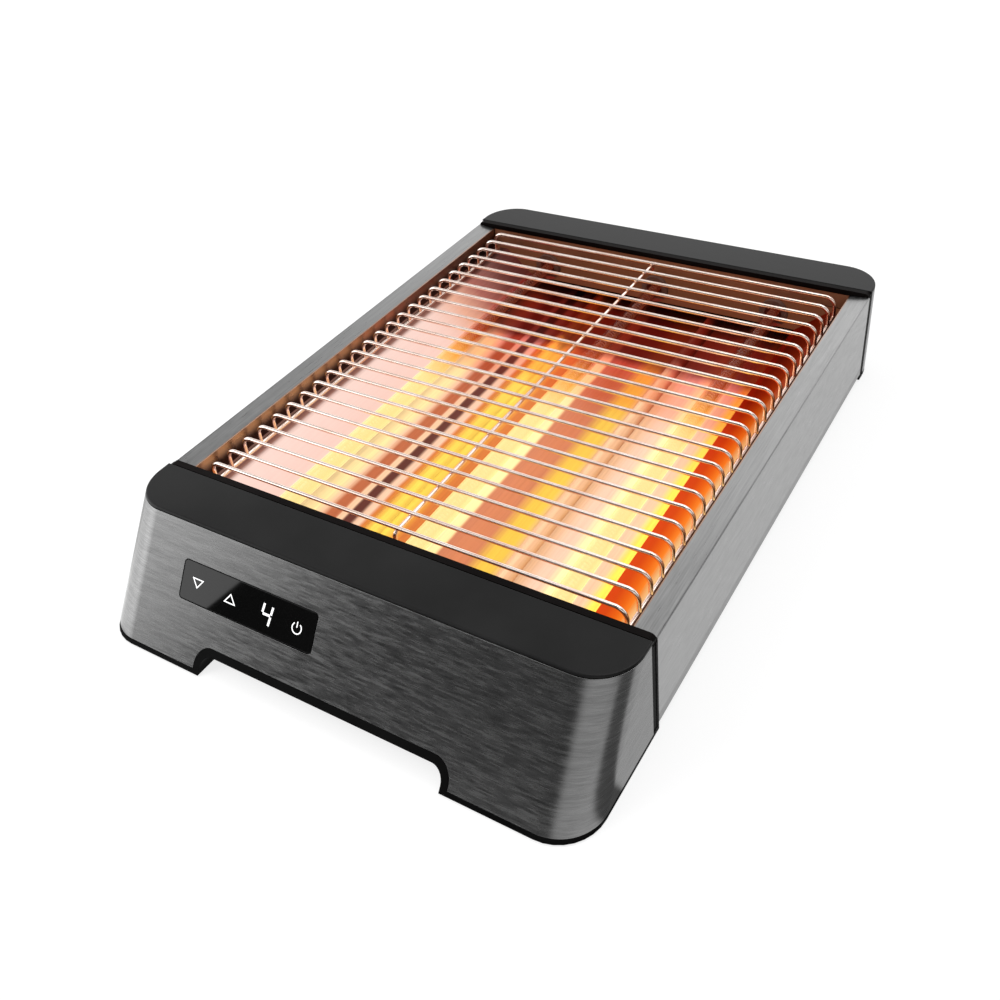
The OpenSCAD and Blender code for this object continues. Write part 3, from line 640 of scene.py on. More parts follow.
def block(name, low, high):
    """Plain box used only to cut with or to join on."""
    (x0, y0, z0), (x1, y1, z1) = low, high
    outline = [(x0, y0), (x1, y0), (x1, y1), (x0, y1)]
    return prism(name, outline, lambda x, y: (x, y, z0), lambda x, y: (x, y, z1))


def arc(centre, radius, start, end, steps):
    """Points on an arc, in degrees."""
    points = []
    for i in range(steps + 1):
        angle = math.radians(start + (end - start) * i / steps)
        points.append((centre[0] + radius * math.cos(angle), centre[1] + radius * math.sin(angle)))
    return points


CORNER_STEPS = 20
ARCH_STEPS = 12
CUT_REACH = 0.05
CUT_DEPTH = 4 * MM
OVERCUT = 1 * MM


def end_outline(end, z, inset=0.0, seam_inset=0.0):
    """Level outline of an end from its right seam round the outer face to its left seam."""
    sense = SENSES[end]
    face = front_face(z) if end == "front" else -Y_BACK
    seam = sense * SEAMS[end] - seam_inset
    half = half_width(z) - inset
    r = CORNER_R - inset
    right = arc((half - r, face + inset + r), r, 0, -90, CORNER_STEPS)
    left = arc((r - half, face + inset + r), r, -90, -180, CORNER_STEPS)
    points = [(half, seam), *right, *left, (-half, seam)]
    return [(x, sense * y, z) for x, y in points]


def end_block(name, end, levels):
    """Closed form of an end through levels of height, inset and inset at the seam."""
    return loft(name, [end_outline(end, z, inset, seam) for z, inset, seam in levels])


def arch_prism(name, end, half, top, r):
    """Cutter for the arch of an end."""
    outline = [(-half, -TOP), (half, -TOP)]
    outline += arc((half - r, top - r), r, 0, 90, ARCH_STEPS)
    outline += arc((r - half, top - r), r, 90, 180, ARCH_STEPS)
    near, far = (Y_TOE, SEAM_FRONT) if end == "front" else (SEAM_REAR, Y_BACK)
    return prism(name, outline, lambda x, z: (x, near - CUT_REACH, z), lambda x, z: (x, far + CUT_REACH, z))


# Frame of the touch panel on the raked face
LENS_ACROSS = -49.3 * MM
LENS_HEIGHT = 36.5 * MM
LENS_CENTRE = Vector((LENS_ACROSS, front_face(LENS_HEIGHT), LENS_HEIGHT))
LENS_UP = Vector((0, math.sin(RAKE), math.cos(RAKE)))
LENS_OUT = Vector((0, -math.cos(RAKE), math.sin(RAKE)))
LENS_W = 82 * MM
LENS_H = 19.6 * MM
LENS_R = 2 * MM
LENS_GAP = 0.35 * MM


def on_lens(across, up, out):
    """Point at a place across and up the touch panel, and out from it."""
    return LENS_CENTRE + Vector((across, 0, 0)) + LENS_UP * up + LENS_OUT * out


LENS_STEPS = 8


def rounded_rectangle(w, h, r):
    corners = ((1, 1, 0), (-1, 1, 90), (-1, -1, 180), (1, -1, 270))
    points = []
    for sx, sy, start in corners:
        points += arc((sx * (w / 2 - r), sy * (h / 2 - r)), r, start, start + 90, LENS_STEPS)
    return points


def lens_prism(name, outline, inner, outer):
    return prism(name, outline, lambda a, b: on_lens(a, b, inner), lambda a, b: on_lens(a, b, outer))


# Arches: half width, height and corner radius, first of the plates' lower edges
PLATE_ARCHES = {
    "front": (73.7 * MM, 14.0 * MM, 9.5 * MM),
    "rear": (104.3 * MM, 29.3 * MM, 10.3 * MM),
}
# The front arch as in the frame, and the opening that its lining leaves
FRAME_ARCH = (72.4 * MM, 14.6 * MM, 8.4 * MM)
LINED_ARCH = (69.8 * MM, 10.4 * MM, 6.5 * MM)
LINING_STOP = 8 * MM
LINING_TOP = CAP_UNDER / 3
LINING_RIM = 4 * MM
CAP_EDGE = 1.0 * MM
PLATE_LOW = TRIM_TOP - 0.9 * MM
PLATE_HIGH = TOP - CAP_EDGE - SHADOW_GAP
PLATE_STEPS = 4
EDGE_ROUND = 0.18 * MM
GLAND_HOLE_R = 6.15 * MM
HOLE_POINTS = 48
# Bands beside the seams: width, overlap behind the plate, thickness, and depth below the plate's face
SEAM_BAND = 4.0 * MM
BAND_LAP = 0.4 * MM
BAND_T = 1 * MM
BAND_IN = 0.3 * MM
BAND_ROUND = 0.12 * MM


def make_plate(end):
    """Brushed sheet wrapped round an end."""
    name = f"{end}_brushed_plate"
    seam = SEAM_STRIP + SEAM_BAND
    lift = [PLATE_LOW + (PLATE_HIGH - PLATE_LOW) * i / PLATE_STEPS for i in range(PLATE_STEPS + 1)]
    plate = end_block(name, end, [(z, 0, seam) for z in lift])
    core_levels = [lift[0] - OVERCUT, *lift[1:-1], lift[-1] + OVERCUT]
    core = end_block("core", end, [(z, SHEET, seam - OVERCUT) for z in core_levels])
    combine(plate, core, "DIFFERENCE")
    combine(plate, arch_prism("arch", end, *PLATE_ARCHES[end]), "DIFFERENCE")
    if end == "front":
        outline = rounded_rectangle(LENS_W + 2 * LENS_GAP, LENS_H + 2 * LENS_GAP, LENS_R + LENS_GAP)
        combine(plate, lens_prism("window", outline, -CUT_DEPTH, CUT_DEPTH), "DIFFERENCE")
    else:
        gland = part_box("cord_gland")
        middle = (gland[0] + gland[1]) / 2
        ring = arc((middle.x, middle.z), GLAND_HOLE_R, 0, 360 - 360 / HOLE_POINTS, HOLE_POINTS - 1)
        near, far = Y_BACK - CUT_DEPTH, Y_BACK + CUT_DEPTH
        hole = prism("hole", ring, lambda x, z: (x, near, z), lambda x, z: (x, far, z))
        combine(plate, hole, "DIFFERENCE")
    round_edges(plate, EDGE_ROUND)
    return dress(shade(plate), plate_steel, [f"{end}_plate"])


def make_seam_bands(end):
    """Black bands between the plate's two ends and the strips at the seams."""
    reaches = (SEAM_STRIP / 2, SEAM_STRIP + SEAM_BAND + BAND_LAP)
    near, far = (SEAMS[end] - SENSES[end] * reach for reach in reaches)
    bm = bmesh.new()
    for side in (-1, 1):
        rings = []
        for z in (PLATE_LOW, PLATE_HIGH):
            outer = half_width(z) - BAND_IN
            inner = outer - BAND_T
            corners = ((outer, near), (outer, far), (inner, far), (inner, near))
            rings.append([(side * x, y, z) for x, y in corners])
        add_skin(bm, rings)
    bands = from_bmesh(f"{end}_seam_bands", bm)
    round_edges(bands, BAND_ROUND)
    return dress(shade(bands), trim_plastic)


# Caps: rounding of the edge, inset and depth of the skirt, and the break under the edge
CAP_ROUND = 0.7 * MM
CAP_ROUND_STEPS = 6
CAP_TUCK = 1.2 * MM
CAP_SKIRT = 3 * MM
CAP_BREAK = 0.15 * MM
CAP_CREASE = 40
# Frames of the well: thickness, groove beside the cap, corners, and drops of frame and groove
FRAME_T = 3.6 * MM
FRAME_GROOVE = 0.3 * MM
FRAME_R = 3.2 * MM
FRAME_STEPS = 8
FRAME_DROP = 0.1 * MM
GROOVE_DROP = 0.9 * MM
WELL_ROUND = 0.25 * MM
# Walls of the well: set back from the seam, depth behind it, and gap above the bulkhead
WALL_SETBACK = 0.2 * MM
WALL_DEPTH = 2.5 * MM
WALL_GAP = 0.15 * MM


def make_cap(end):
    """Cap moulding: a skirt behind the plate, a thin rounded edge over it, a stop at the well's frame."""
    stop = FRAME_T + FRAME_GROOVE
    lip = TOP - CAP_EDGE
    levels = [
        (CAP_UNDER - CAP_SKIRT, CAP_TUCK, stop),
        (lip - 0.05 * MM, CAP_TUCK, stop),
        (lip, CAP_BREAK, stop),
        (lip + CAP_BREAK, 0, stop),
    ]
    for i in range(CAP_ROUND_STEPS + 1):
        turn = math.radians(90 * i / CAP_ROUND_STEPS)
        inset = CAP_ROUND * (1 - math.cos(turn))
        levels.append((TOP - CAP_ROUND + CAP_ROUND * math.sin(turn), inset, stop + inset * 0.6))
    cap = end_block(f"{end}_cap_moulding", end, levels)
    return dress(shade(cap, CAP_CREASE), black_plastic, [f"{end}_cap"])


def make_well_frame(end):
    """Black frame along the well, rounded at its two corners."""

    def upright(name, drop, *reaches):
        near, far = (SEAMS[end] - SENSES[end] * reach for reach in reaches)
        foot, top = half_width(CAP_UNDER), TOP - drop
        corner = half_width(TOP) - drop - FRAME_R
        outline = [(-foot, CAP_UNDER), (foot, CAP_UNDER)]
        outline += arc((corner, top - FRAME_R), FRAME_R, 0, 90, FRAME_STEPS)
        outline += arc((-corner, top - FRAME_R), FRAME_R, 90, 180, FRAME_STEPS)
        return prism(name, outline, lambda x, z: (x, near, z), lambda x, z: (x, far, z))

    edge = upright(f"{end}_well_frame", FRAME_DROP, FRAME_T, 0.0)
    groove_floor = upright("groove_floor", GROOVE_DROP, FRAME_T + 2 * FRAME_GROOVE, FRAME_T / 2)
    combine(edge, groove_floor, "UNION")
    round_edges(edge, WELL_ROUND)
    return dress(shade(edge), frame_plastic, [f"{end}_cap"])


def make_well_wall(end):
    """Orange-brown wall of the well between its frame and the bulkhead."""
    low, high = sorted(SEAMS[end] - SENSES[end] * reach for reach in (WALL_SETBACK, WALL_DEPTH))
    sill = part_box("front_bulkhead")[1].z + WALL_GAP
    wall = block(f"{end}_well_wall", (-RIM_IN, low, sill), (RIM_IN, high, CAP_UNDER - WALL_SETBACK))
    round_edges(wall, WELL_ROUND)
    return dress(shade(wall), orange_brown_plastic, [f"{end}_cap"])


CAD_MERGE = 0.002 * MM
CAD_FLAT = math.radians(0.5)
CAD_CREASE = 30.0


def merged_copy(node):
    """A CAD node as a piece of its own, merged, with its flat faces whole."""
    bm = bmesh.new()
    bm.from_mesh(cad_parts[node].data)
    bmesh.ops.remove_doubles(bm, verts=bm.verts, dist=CAD_MERGE)
    bmesh.ops.dissolve_limit(
        bm, angle_limit=CAD_FLAT, verts=bm.verts, edges=bm.edges, use_dissolve_boundaries=False
    )
    mesh = bpy.data.meshes.new(f"{node}_finished")
    bm.to_mesh(mesh)
    bm.free()
    return mesh_object(f"{node}_finished", mesh)


def polished_copy(node, material, body="body", rounding=0.0):
    """A CAD node smoothly shaded, with softened edges."""
    piece = merged_copy(node)
    if rounding:
        round_edges(piece, rounding)
    return dress(shade(piece, CAD_CREASE), material, [node], body)


def resized(arch, more):
    """An arch's sizes, all greater by the same."""
    return [size + more for size in arch]


def outer_skin(end, low, high):
    """Layer as deep as the plate at the outer face of an end, between two heights and clear of the arch."""
    seam = SEAM_STRIP + SEAM_BAND - SHADOW_GAP
    skin = end_block("skin", end, [(z, -OVERCUT, seam) for z in (low, high)])
    depth = SHEET + SHADOW_GAP
    behind = end_block("behind", end, [(z, depth, 0) for z in (low - OVERCUT, high + OVERCUT)])
    combine(skin, behind, "DIFFERENCE")
    shown = arch_prism("shown", end, *resized(PLATE_ARCHES[end], -SHADOW_GAP))
    return combine(skin, shown, "DIFFERENCE")


def line_front_arch(base):
    """Lines the front arch, and lets its old rim in under the plate."""
    levels = (SOLE, TRIM_TOP, LINING_TOP)
    lining = end_block("lining", "front", [(z, 0, LINING_STOP) for z in levels])
    combine(lining, arch_prism("old_arch", "front", *FRAME_ARCH), "INTERSECT")
    combine(lining, arch_prism("opening", "front", *LINED_ARCH), "DIFFERENCE")
    combine(base, lining, "UNION")
    rim = outer_skin("front", TRIM_TOP, LINING_TOP)
    beyond = arch_prism("beyond", "front", *resized(PLATE_ARCHES["front"], LINING_RIM))
    combine(rim, beyond, "INTERSECT")
    combine(base, rim, "DIFFERENCE")


def make_base(end):
    """Base moulding of an end, with the top of its lower edge let in under the plate."""
    base = merged_copy(f"{end}_base")
    if end == "front":
        line_front_arch(base)
    combine(base, outer_skin(end, PLATE_LOW - SHADOW_GAP, TRIM_TOP + SHADOW_GAP), "DIFFERENCE")
    return dress(shade(base, CAD_CREASE), trim_plastic, [f"{end}_base"])


for end_name in ("front", "rear"):
    make_plate(end_name)
    make_seam_bands(end_name)
    make_cap(end_name)
    make_well_frame(end_name)
    make_well_wall(end_name)
    make_base(end_name)


class Graph:
    """Geometry Nodes tree with named inputs, baked to a plain mesh."""

    def __init__(self, name, **sizes):
        self.tree = bpy.data.node_groups.new(name, "GeometryNodeTree")
        self.sizes = sizes
        self.tree.interface.new_socket("Geometry", in_out="OUTPUT", socket_type="NodeSocketGeometry")
        self.keys = {}
        for key, value in sizes.items():
            kind = "NodeSocketInt" if isinstance(value, int) else "NodeSocketFloat"
            item = self.tree.interface.new_socket(key, in_out="INPUT", socket_type=kind)
            self.keys[key] = item.identifier
        self.inputs = self.tree.nodes.new("NodeGroupInput")
        self.output = self.tree.nodes.new("NodeGroupOutput")

    def size(self, key):
        return self.inputs.outputs[key]

    def add(self, kind, settings=None, out=0, **values):
        """Adds a node; values are keyed by socket name or by i0, i1 for its place."""
        node = self.tree.nodes.new(kind)
        for key, value in (settings or {}).items():
            setattr(node, key, value)
        for key, value in values.items():
            target = node.inputs[socket_key(key)]
            if isinstance(value, list):
                for link in value:
                    self.tree.links.new(link, target)
            elif isinstance(value, bpy.types.NodeSocket):
                self.tree.links.new(value, target)
            else:
                target.default_value = value
        return node.outputs[out]

    def math(self, operation, first, second):
        return self.add("ShaderNodeMath", {"operation": operation}, i0=first, i1=second)

    def vector(self, x=0.0, y=0.0, z=0.0):
        return self.add("ShaderNodeCombineXYZ", i0=x, i1=y, i2=z)

    def line(self, start, end):
        return self.add("GeometryNodeCurvePrimitiveLine", Start=start, End=end)

    def bent_path(self, corners, steps, radius):
        """One curve through corners, rounded at those between its ends."""
        runs = [self.line(start, end) for start, end in zip(corners, corners[1:])]
        joined = self.add("GeometryNodeJoinGeometry", Geometry=runs[::-1])
        edges = self.add("GeometryNodeCurveToMesh", Curve=joined)
        merged = self.add("GeometryNodeMergeByDistance", Geometry=edges, Distance=0.01 * MM)
        path = self.add("GeometryNodeMeshToCurve", Mesh=merged)
        return self.add("GeometryNodeFilletCurve", {"mode": "POLY"}, Curve=path, Count=steps, Radius=radius)

    def tube(self, curve, radius, sides):
        ring = self.add("GeometryNodeCurvePrimitiveCircle", Resolution=sides, Radius=radius)
        return self.add("GeometryNodeCurveToMesh", Curve=curve, Profile_Curve=ring, Fill_Caps=True)

    def bake(self, name, geometry, material):
        """Realizes the geometry, sets its material and returns a plain mesh object."""
        real = self.add("GeometryNodeRealizeInstances", Geometry=geometry)
        smooth = self.add("GeometryNodeSetShadeSmooth", i0=real)
        done = self.add("GeometryNodeSetMaterial", Geometry=smooth, Material=material)
        self.tree.links.new(done, self.output.inputs[0])
        piece = mesh_object(name, bpy.data.meshes.new(name))
        step = piece.modifiers.new(name, "NODES")
        step.node_group = self.tree
        for key, value in self.sizes.items():
            step[self.keys[key]] = value
        return settle(piece)


def make_rack():
    """Cross wires with bent ends on two rails, and a centre wire welded under them."""
    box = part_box("wire_rack")
    wire_r = 1.1 * MM
    rail_r = 1.5 * MM
    g = Graph(
        "wire_rack_tree", Count=25, Pitch=11.8 * MM, WireRadius=wire_r, RailRadius=rail_r,
        Leg=box[1].x - rail_r, Top=box[1].z - wire_r, RailHeight=box[0].z + rail_r, Bend=6 * MM,
        RailLength=289.2 * MM, CentreDrop=6 * MM, CentreBend=2.5 * MM, CentreOverhang=2.2 * MM,
    )
    right, top, rail = g.size("Leg"), g.size("Top"), g.size("RailHeight")
    left = g.math("MULTIPLY", right, -1.0)
    span = g.math("MULTIPLY", g.math("SUBTRACT", g.size("Count"), 1), g.size("Pitch"))
    start = g.math("SUBTRACT", Y_MID, g.math("MULTIPLY", span, 0.5))
    corners = [g.vector(x, 0.0, z) for x, z in ((left, rail), (left, top), (right, top), (right, rail))]
    wire = g.tube(g.bent_path(corners, 10, g.size("Bend")), g.size("WireRadius"), 12)
    row = g.add(
        "GeometryNodeMeshLine", Count=g.size("Count"), Start_Location=g.vector(0.0, start, 0.0),
        Offset=g.vector(0.0, g.size("Pitch"), 0.0),
    )
    wires = g.add("GeometryNodeInstanceOnPoints", Points=row, Instance=wire)
    rail_half = g.math("MULTIPLY", g.size("RailLength"), 0.5)
    near, far = (g.math(way, Y_MID, rail_half) for way in ("SUBTRACT", "ADD"))
    rails = []
    for x in (left, right):
        line = g.line(g.vector(x, near, rail), g.vector(x, far, rail))
        rails.append(g.tube(line, g.size("RailRadius"), 14))
    low = g.math("SUBTRACT", top, g.math("MULTIPLY", g.size("WireRadius"), 1.6))
    drop = g.math("SUBTRACT", low, g.size("CentreDrop"))
    first = g.math("SUBTRACT", start, g.size("CentreOverhang"))
    last = g.math("ADD", g.math("ADD", start, span), g.size("CentreOverhang"))
    stops = [g.vector(0.0, y, z) for y, z in ((first, drop), (first, low), (last, low), (last, drop))]
    centre = g.tube(g.bent_path(stops, 6, g.size("CentreBend")), g.size("WireRadius"), 12)
    everything = g.add("GeometryNodeJoinGeometry", Geometry=[wires, *rails, centre])
    rack = g.bake("chromed_wire_rack", everything, wire_chrome)
    return dress(rack, wire_chrome, ["wire_rack"])


make_rack()


def make_coil(side, place):
    """Wound resistance wire, with straight tails through its holders."""
    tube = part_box(f"quartz_tube_{side}")
    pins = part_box(f"heater_coil_{side}")
    g = Graph(
        f"coil_{side}_tree", Turns=130, Radius=2.6 * MM, Wire=0.4 * MM,
        Length=tube[1].y - tube[0].y - 4 * MM, Across=place * TUBE_PITCH,
        Height=(tube[0].z + tube[1].z) / 2, Pin=1.0 * MM, PinLength=pins[1].y - pins[0].y, Tail=22 * MM,
    )
    across, height = g.size("Across"), g.size("Height")
    helix = g.add(
        "GeometryNodeCurveSpiral", Resolution=14, Rotations=g.size("Turns"), Start_Radius=g.size("Radius"),
        End_Radius=g.size("Radius"), Height=g.size("Length"),
    )
    start = g.math("SUBTRACT", Y_MID, g.math("MULTIPLY", g.size("Length"), 0.5))
    wound = g.add(
        "GeometryNodeTransform", Geometry=g.tube(helix, g.size("Wire"), 5),
        Rotation=(math.radians(-90), 0, 0), Translation=g.vector(across, start, height),
    )
    outer = g.math("MULTIPLY", g.size("PinLength"), 0.5)
    inner = g.math("SUBTRACT", outer, g.size("Tail"))
    tails = []
    for way in ("SUBTRACT", "ADD"):
        ends = [g.vector(across, g.math(way, Y_MID, reach), height) for reach in (inner, outer)]
        tails.append(g.tube(g.line(*ends), g.size("Pin"), 12))
    whole = g.add("GeometryNodeJoinGeometry", Geometry=[wound, *tails])
    coil = g.bake(f"wound_coil_{side}", whole, heating_wire)
    return dress(coil, heating_wire, [f"heater_coil_{side}"])


for tube_place, tube_side in ((-1, "left"), (0, "centre"), (1, "right")):
    make_coil(tube_side, tube_place)
    polished_copy(f"quartz_tube_{tube_side}", quartz, rounding=0.2 * MM)
    for end_name in ("front", "rear"):
        polished_copy(f"{end_name}_holder_{tube_side}", ceramic, rounding=0.4 * MM)

polished_copy("left_side_panel", side_steel, rounding=0.3 * MM)
polished_copy("right_side_panel", side_steel, rounding=0.3 * MM)
polished_copy("crumb_tray", tray_sheet, "tray")
polished_copy("left_reflector", left_slope_sheet)
polished_copy("right_reflector", right_slope_sheet)
polished_copy("front_bulkhead", front_wall_sheet)
polished_copy("rear_bulkhead", rear_wall_sheet)
polished_copy("tray_handle", black_plastic, "tray", rounding=0.5 * MM)
polished_copy("tray_rivets", zinc, "tray", rounding=0.2 * MM)
polished_copy("control_lens", lens_black, rounding=0.15 * MM)
polished_copy("cord_gland", rubber, rounding=0.3 * MM)
for corner in ("front_left", "front_right", "rear_left", "rear_right"):
    polished_copy(f"foot_{corner}", rubber, rounding=0.4 * MM)
for screws in ("cap_screws", "pan_screws", "board_screws"):
    polished_copy(screws, zinc, rounding=0.3 * MM)

PLAIN_NODES = {
    pan_sheet: ("base_pan", "left_runner", "right_runner"),
    brass_strip: (
        "front_busbar", "rear_busbar", "touch_spring_down", "touch_spring_up", "touch_spring_power",
    ),
    inner_plastic: ("control_bracket", "display_module", "terminal_block", "wire_header"),
    board: ("control_board", "power_board"),
    case_plastic: ("relay", "film_capacitor", "transformer"),
    zinc: ("thermal_cutout",),
    sleeve: ("wiring_harness",),
}
for finish, names in PLAIN_NODES.items():
    for node_name in names:
        cad_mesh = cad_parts[node_name].data
        cad_mesh.materials.clear()
        cad_mesh.materials.append(finish)

# Symbols on the touch panel: their sizes, and their places across and up from its centre
SYMBOL_PROUD = 0.06 * MM
SYMBOL_ROOT = -0.2 * MM
STROKE = 0.54 * MM
ARROW_WIDE = 3.15 * MM
ARROW_HIGH = 2.1 * MM
DOWN_AT = (-31.0 * MM, 0.1 * MM)
UP_AT = (-9.9 * MM, -0.4 * MM)
POWER_AT = (30.8 * MM, -0.6 * MM)
POWER_R = 2.65 * MM
POWER_ARC = (128, 412, 32)
POWER_BAR = (0.3 * MM, 3.1 * MM)
DIGIT_AT = (12.6 * MM, -0.4 * MM)
DIGIT_STROKE = 1.15 * MM
DIGIT_SLANT = 0.12
# Lit bars of the digit, in millimetres before it is slanted
DIGIT_BARS = (
    ((-2.6, 4.9), (-2.6, 0.55)),
    ((-2.2, 0.0), (2.2, 0.0)),
    ((2.6, 4.4), (2.6, 0.55)),
    ((2.6, -0.55), (2.6, -4.9)),
)


def stroke_outline(points, closed, width):
    """Outer and inner edges of a stroke along points, mitred at its corners."""
    count = len(points)
    outer, inner = [], []
    for i, point in enumerate(points):
        here = Vector(point)
        before = Vector(points[i - 1]) if closed or i else here
        after = Vector(points[(i + 1) % count]) if closed or i < count - 1 else here
        into = (here - before).normalized() if before != here else (after - here).normalized()
        onward = (after - here).normalized() if after != here else into
        side = (Vector((-into.y, into.x)) + Vector((-onward.y, onward.x))).normalized()
        reach = width / 2 / max(0.35, side.dot(Vector((-into.y, into.x))))
        outer.append(here + side * reach)
        inner.append(here - side * reach)
    return outer, inner


def add_stroke(bm, points, closed, width, at):
    """Closed raised stroke on the touch panel."""
    outer, inner = stroke_outline(points, closed, width)
    count = len(points)

    def vert(p, out):
        return bm.verts.new(on_lens(at[0] + p[0], at[1] + p[1], out))

    edges = ((outer, SYMBOL_ROOT), (outer, SYMBOL_PROUD), (inner, SYMBOL_PROUD), (inner, SYMBOL_ROOT))
    rows = [[vert(p, out) for p in edge] for edge, out in edges]
    steps = count if closed else count - 1
    for i in range(steps):
        j = (i + 1) % count
        for a, b in zip(rows, rows[1:] + rows[:1]):
            bm.faces.new((a[i], a[j], b[j], b[i]))
    if not closed:
        bm.faces.new([row[0] for row in rows])
        bm.faces.new([row[-1] for row in rows][::-1])


def make_symbols():
    """Arrow keys, level digit and power sign, as thin back-lit prints."""
    bm = bmesh.new()
    down = [(-ARROW_WIDE, ARROW_HIGH), (ARROW_WIDE, ARROW_HIGH), (0.0, -ARROW_HIGH)]
    up = [(-ARROW_WIDE, -ARROW_HIGH), (0.0, ARROW_HIGH), (ARROW_WIDE, -ARROW_HIGH)]
    add_stroke(bm, down, True, STROKE, DOWN_AT)
    add_stroke(bm, up, True, STROKE, UP_AT)
    add_stroke(bm, arc((0.0, 0.0), POWER_R, *POWER_ARC), False, STROKE, POWER_AT)
    add_stroke(bm, [(0.0, height) for height in POWER_BAR], False, STROKE, POWER_AT)
    for bar in DIGIT_BARS:
        line = [((x + DIGIT_SLANT * y) * MM, y * MM) for x, y in bar]
        add_stroke(bm, line, False, DIGIT_STROKE, DIGIT_AT)
    piece = from_bmesh("lens_symbols", bm)
    return dress(piece, symbol_white)


make_symbols()

# Stage: white floor, studio surroundings and soft lamps
FLOOR_HALF = 6.0
FLOOR_SHADE = 0.30
FLOOR_LIFT = 0.79
FAR_LIFT = 0.3
FAR_FROM = 0.6
FAR_TO = 2.0
AMBIENT = 0.45


def seen_rays(tree):
    """1 for rays that show the surroundings themselves, and 1 for those mirrored in metal or gloss."""
    kinds = ("Camera", "Glossy", "Transmission")
    camera, glossy, through = (source(tree, "ShaderNodeLightPath", f"Is {kind} Ray") for kind in kinds)
    direct = (camera + through).clamp()
    return direct, glossy * (1.0 - direct)


def bearing_of(x, y):
    """Direction on plan: 0 behind, then over the left, 0.5 in front and over the right to 1."""
    return x.math("ARCTAN2", x, 0.0 - y) / (2 * math.pi) + 0.5


# Cards on the floor beside the two front corners, a dark one at the right and a pale one at the left,
# which show in those corners alone: place, bearings between which each lies, and its brightness
CARD_X = HALF_BASE - CORNER_R
CARD_Y = front_face(TOP / 2) + CORNER_R
CARD_CURL = 0.09
DARK_CARD = (CARD_X, 0.710, 0.795, -0.8)
PALE_CARD = (-CARD_X, 0.25, 0.36, 0.8)
CARD_SOFT = 0.03


def floor_card(f, card):
    """What a card adds to the brightness of the floor round it."""
    place, start, end, level = card
    across, along = f.x - place, f.y - CARD_Y
    away = across.math("SQRT", across * across + along * along)
    turn = bearing_of(across, along) + math.copysign(CARD_CURL * CORNER_R, place) / away
    return level * turn.smooth(start - CARD_SOFT, start) * (1.0 - turn.smooth(end, end + CARD_SOFT))


def make_floor():
    """Pale floor that shows white and keeps the object's shadow."""
    bm = bmesh.new()
    bmesh.ops.create_grid(bm, x_segments=1, y_segments=1, size=FLOOR_HALF)
    floor = from_bmesh("pale_floor", bm)
    f = Finish("pale_floor", Roughness=0.9, Specular_IOR_Level=0.0, Emission_Strength=FLOOR_LIFT)
    direct, mirrored = seen_rays(f.tree)
    seen = direct + mirrored
    away = f.place.add("ShaderNodeVectorMath", {"operation": "LENGTH"}, out=1, i0=f.place)
    cards = floor_card(f, DARK_CARD) + floor_card(f, PALE_CARD)
    shown = 1.0 + mirrored * cards + FAR_LIFT * direct * away.smooth(FAR_FROM, FAR_TO)
    f.set(Base_Color=seen.mix(solid(grey(0.80)), solid(grey(FLOOR_SHADE))).tint(shown))
    f.set(Emission_Color=seen.mix(solid(grey(0.0)), solid(grey(1.0))).tint(shown))
    floor.data.materials.append(f.material)


# Brightness of the surroundings in metal: by bearing, from behind over the left, the front and
# the right to behind again, and by height, from the horizon to straight above
PANEL_SIDE = [
    (0.0, 1.45), (0.07, 1.45), (0.11, 1.0), (0.22, 1.0), (0.30, 2.6), (0.35, 2.6), (0.375, 1.5),
    (0.40, 1.4), (1.0, 1.4),
]
SHADED_SIDE = [
    (0.0, 0.03), (0.40, 0.03), (0.44, 0.10), (0.515, 0.10), (0.545, 0.8), (0.655, 0.8), (0.70, 0.15),
    (0.79, 0.15), (0.82, 1.0), (1.0, 1.0),
]
HEIGHTS = [
    (0.0, 1.0), (0.45, 1.1), (0.53, 1.3), (0.58, 0.90), (0.62, 0.75), (0.66, 0.45), (0.72, 0.24),
    (0.82, 0.5), (1.0, 0.6),
]
# Edge of the bright panel at the front left: its bearing at a height, its lean and its softness
PANEL_EDGE = 0.3911
PANEL_FOOT = 0.144
PANEL_LEAN = 0.0556
PANEL_SOFT = 0.0002


def make_world():
    """White surroundings; in metal and gloss a darker ceiling, a bright panel and a shaded front."""
    world = bpy.data.worlds.new("white_studio")
    bpy.context.scene.world = world
    world.use_nodes = True
    tree = world.node_tree
    x, y, z = source(tree, "ShaderNodeTexCoord", "Generated").split()
    bearing = bearing_of(x, y)
    leaning = bearing - PANEL_LEAN * (z - PANEL_FOOT)
    beyond = leaning.smooth(PANEL_EDGE - PANEL_SOFT, PANEL_EDGE + PANEL_SOFT)
    panel, shaded = (
        bearing.ramp([(place, grey(level)) for place, level in side]) for side in (PANEL_SIDE, SHADED_SIDE)
    )
    around = beyond.mix(panel, shaded)
    above = z.ramp([(place, grey(level)) for place, level in HEIGHTS])
    direct, mirrored = seen_rays(tree)
    strength = direct + mirrored * around * above + (1.0 - direct - mirrored) * AMBIENT
    sky = tree.nodes["Background"]
    sky.inputs["Color"].default_value = solid(grey(1.0))
    tree.links.new(strength.socket, sky.inputs["Strength"])


make_floor()
make_world()


def add_lamp(name, place, size, power, colour=(1.0, 1.0, 1.0)):
    """Rectangular lamp, out of sight itself, that shines straight down until it is aimed."""
    lamp = bpy.data.lights.new(name, "AREA")
    lamp.shape = "RECTANGLE"
    lamp.size, lamp.size_y = size
    lamp.energy = power
    lamp.color = colour
    holder = bpy.data.objects.new(name, lamp)
    bpy.context.scene.collection.objects.link(holder)
    holder.location = place
    holder.visible_camera = False
    return holder


def aim(holder, target):
    """Turns a lamp towards a point."""
    way = Vector(target) - holder.location
    holder.rotation_euler = way.to_track_quat("-Z", "Y").to_euler()


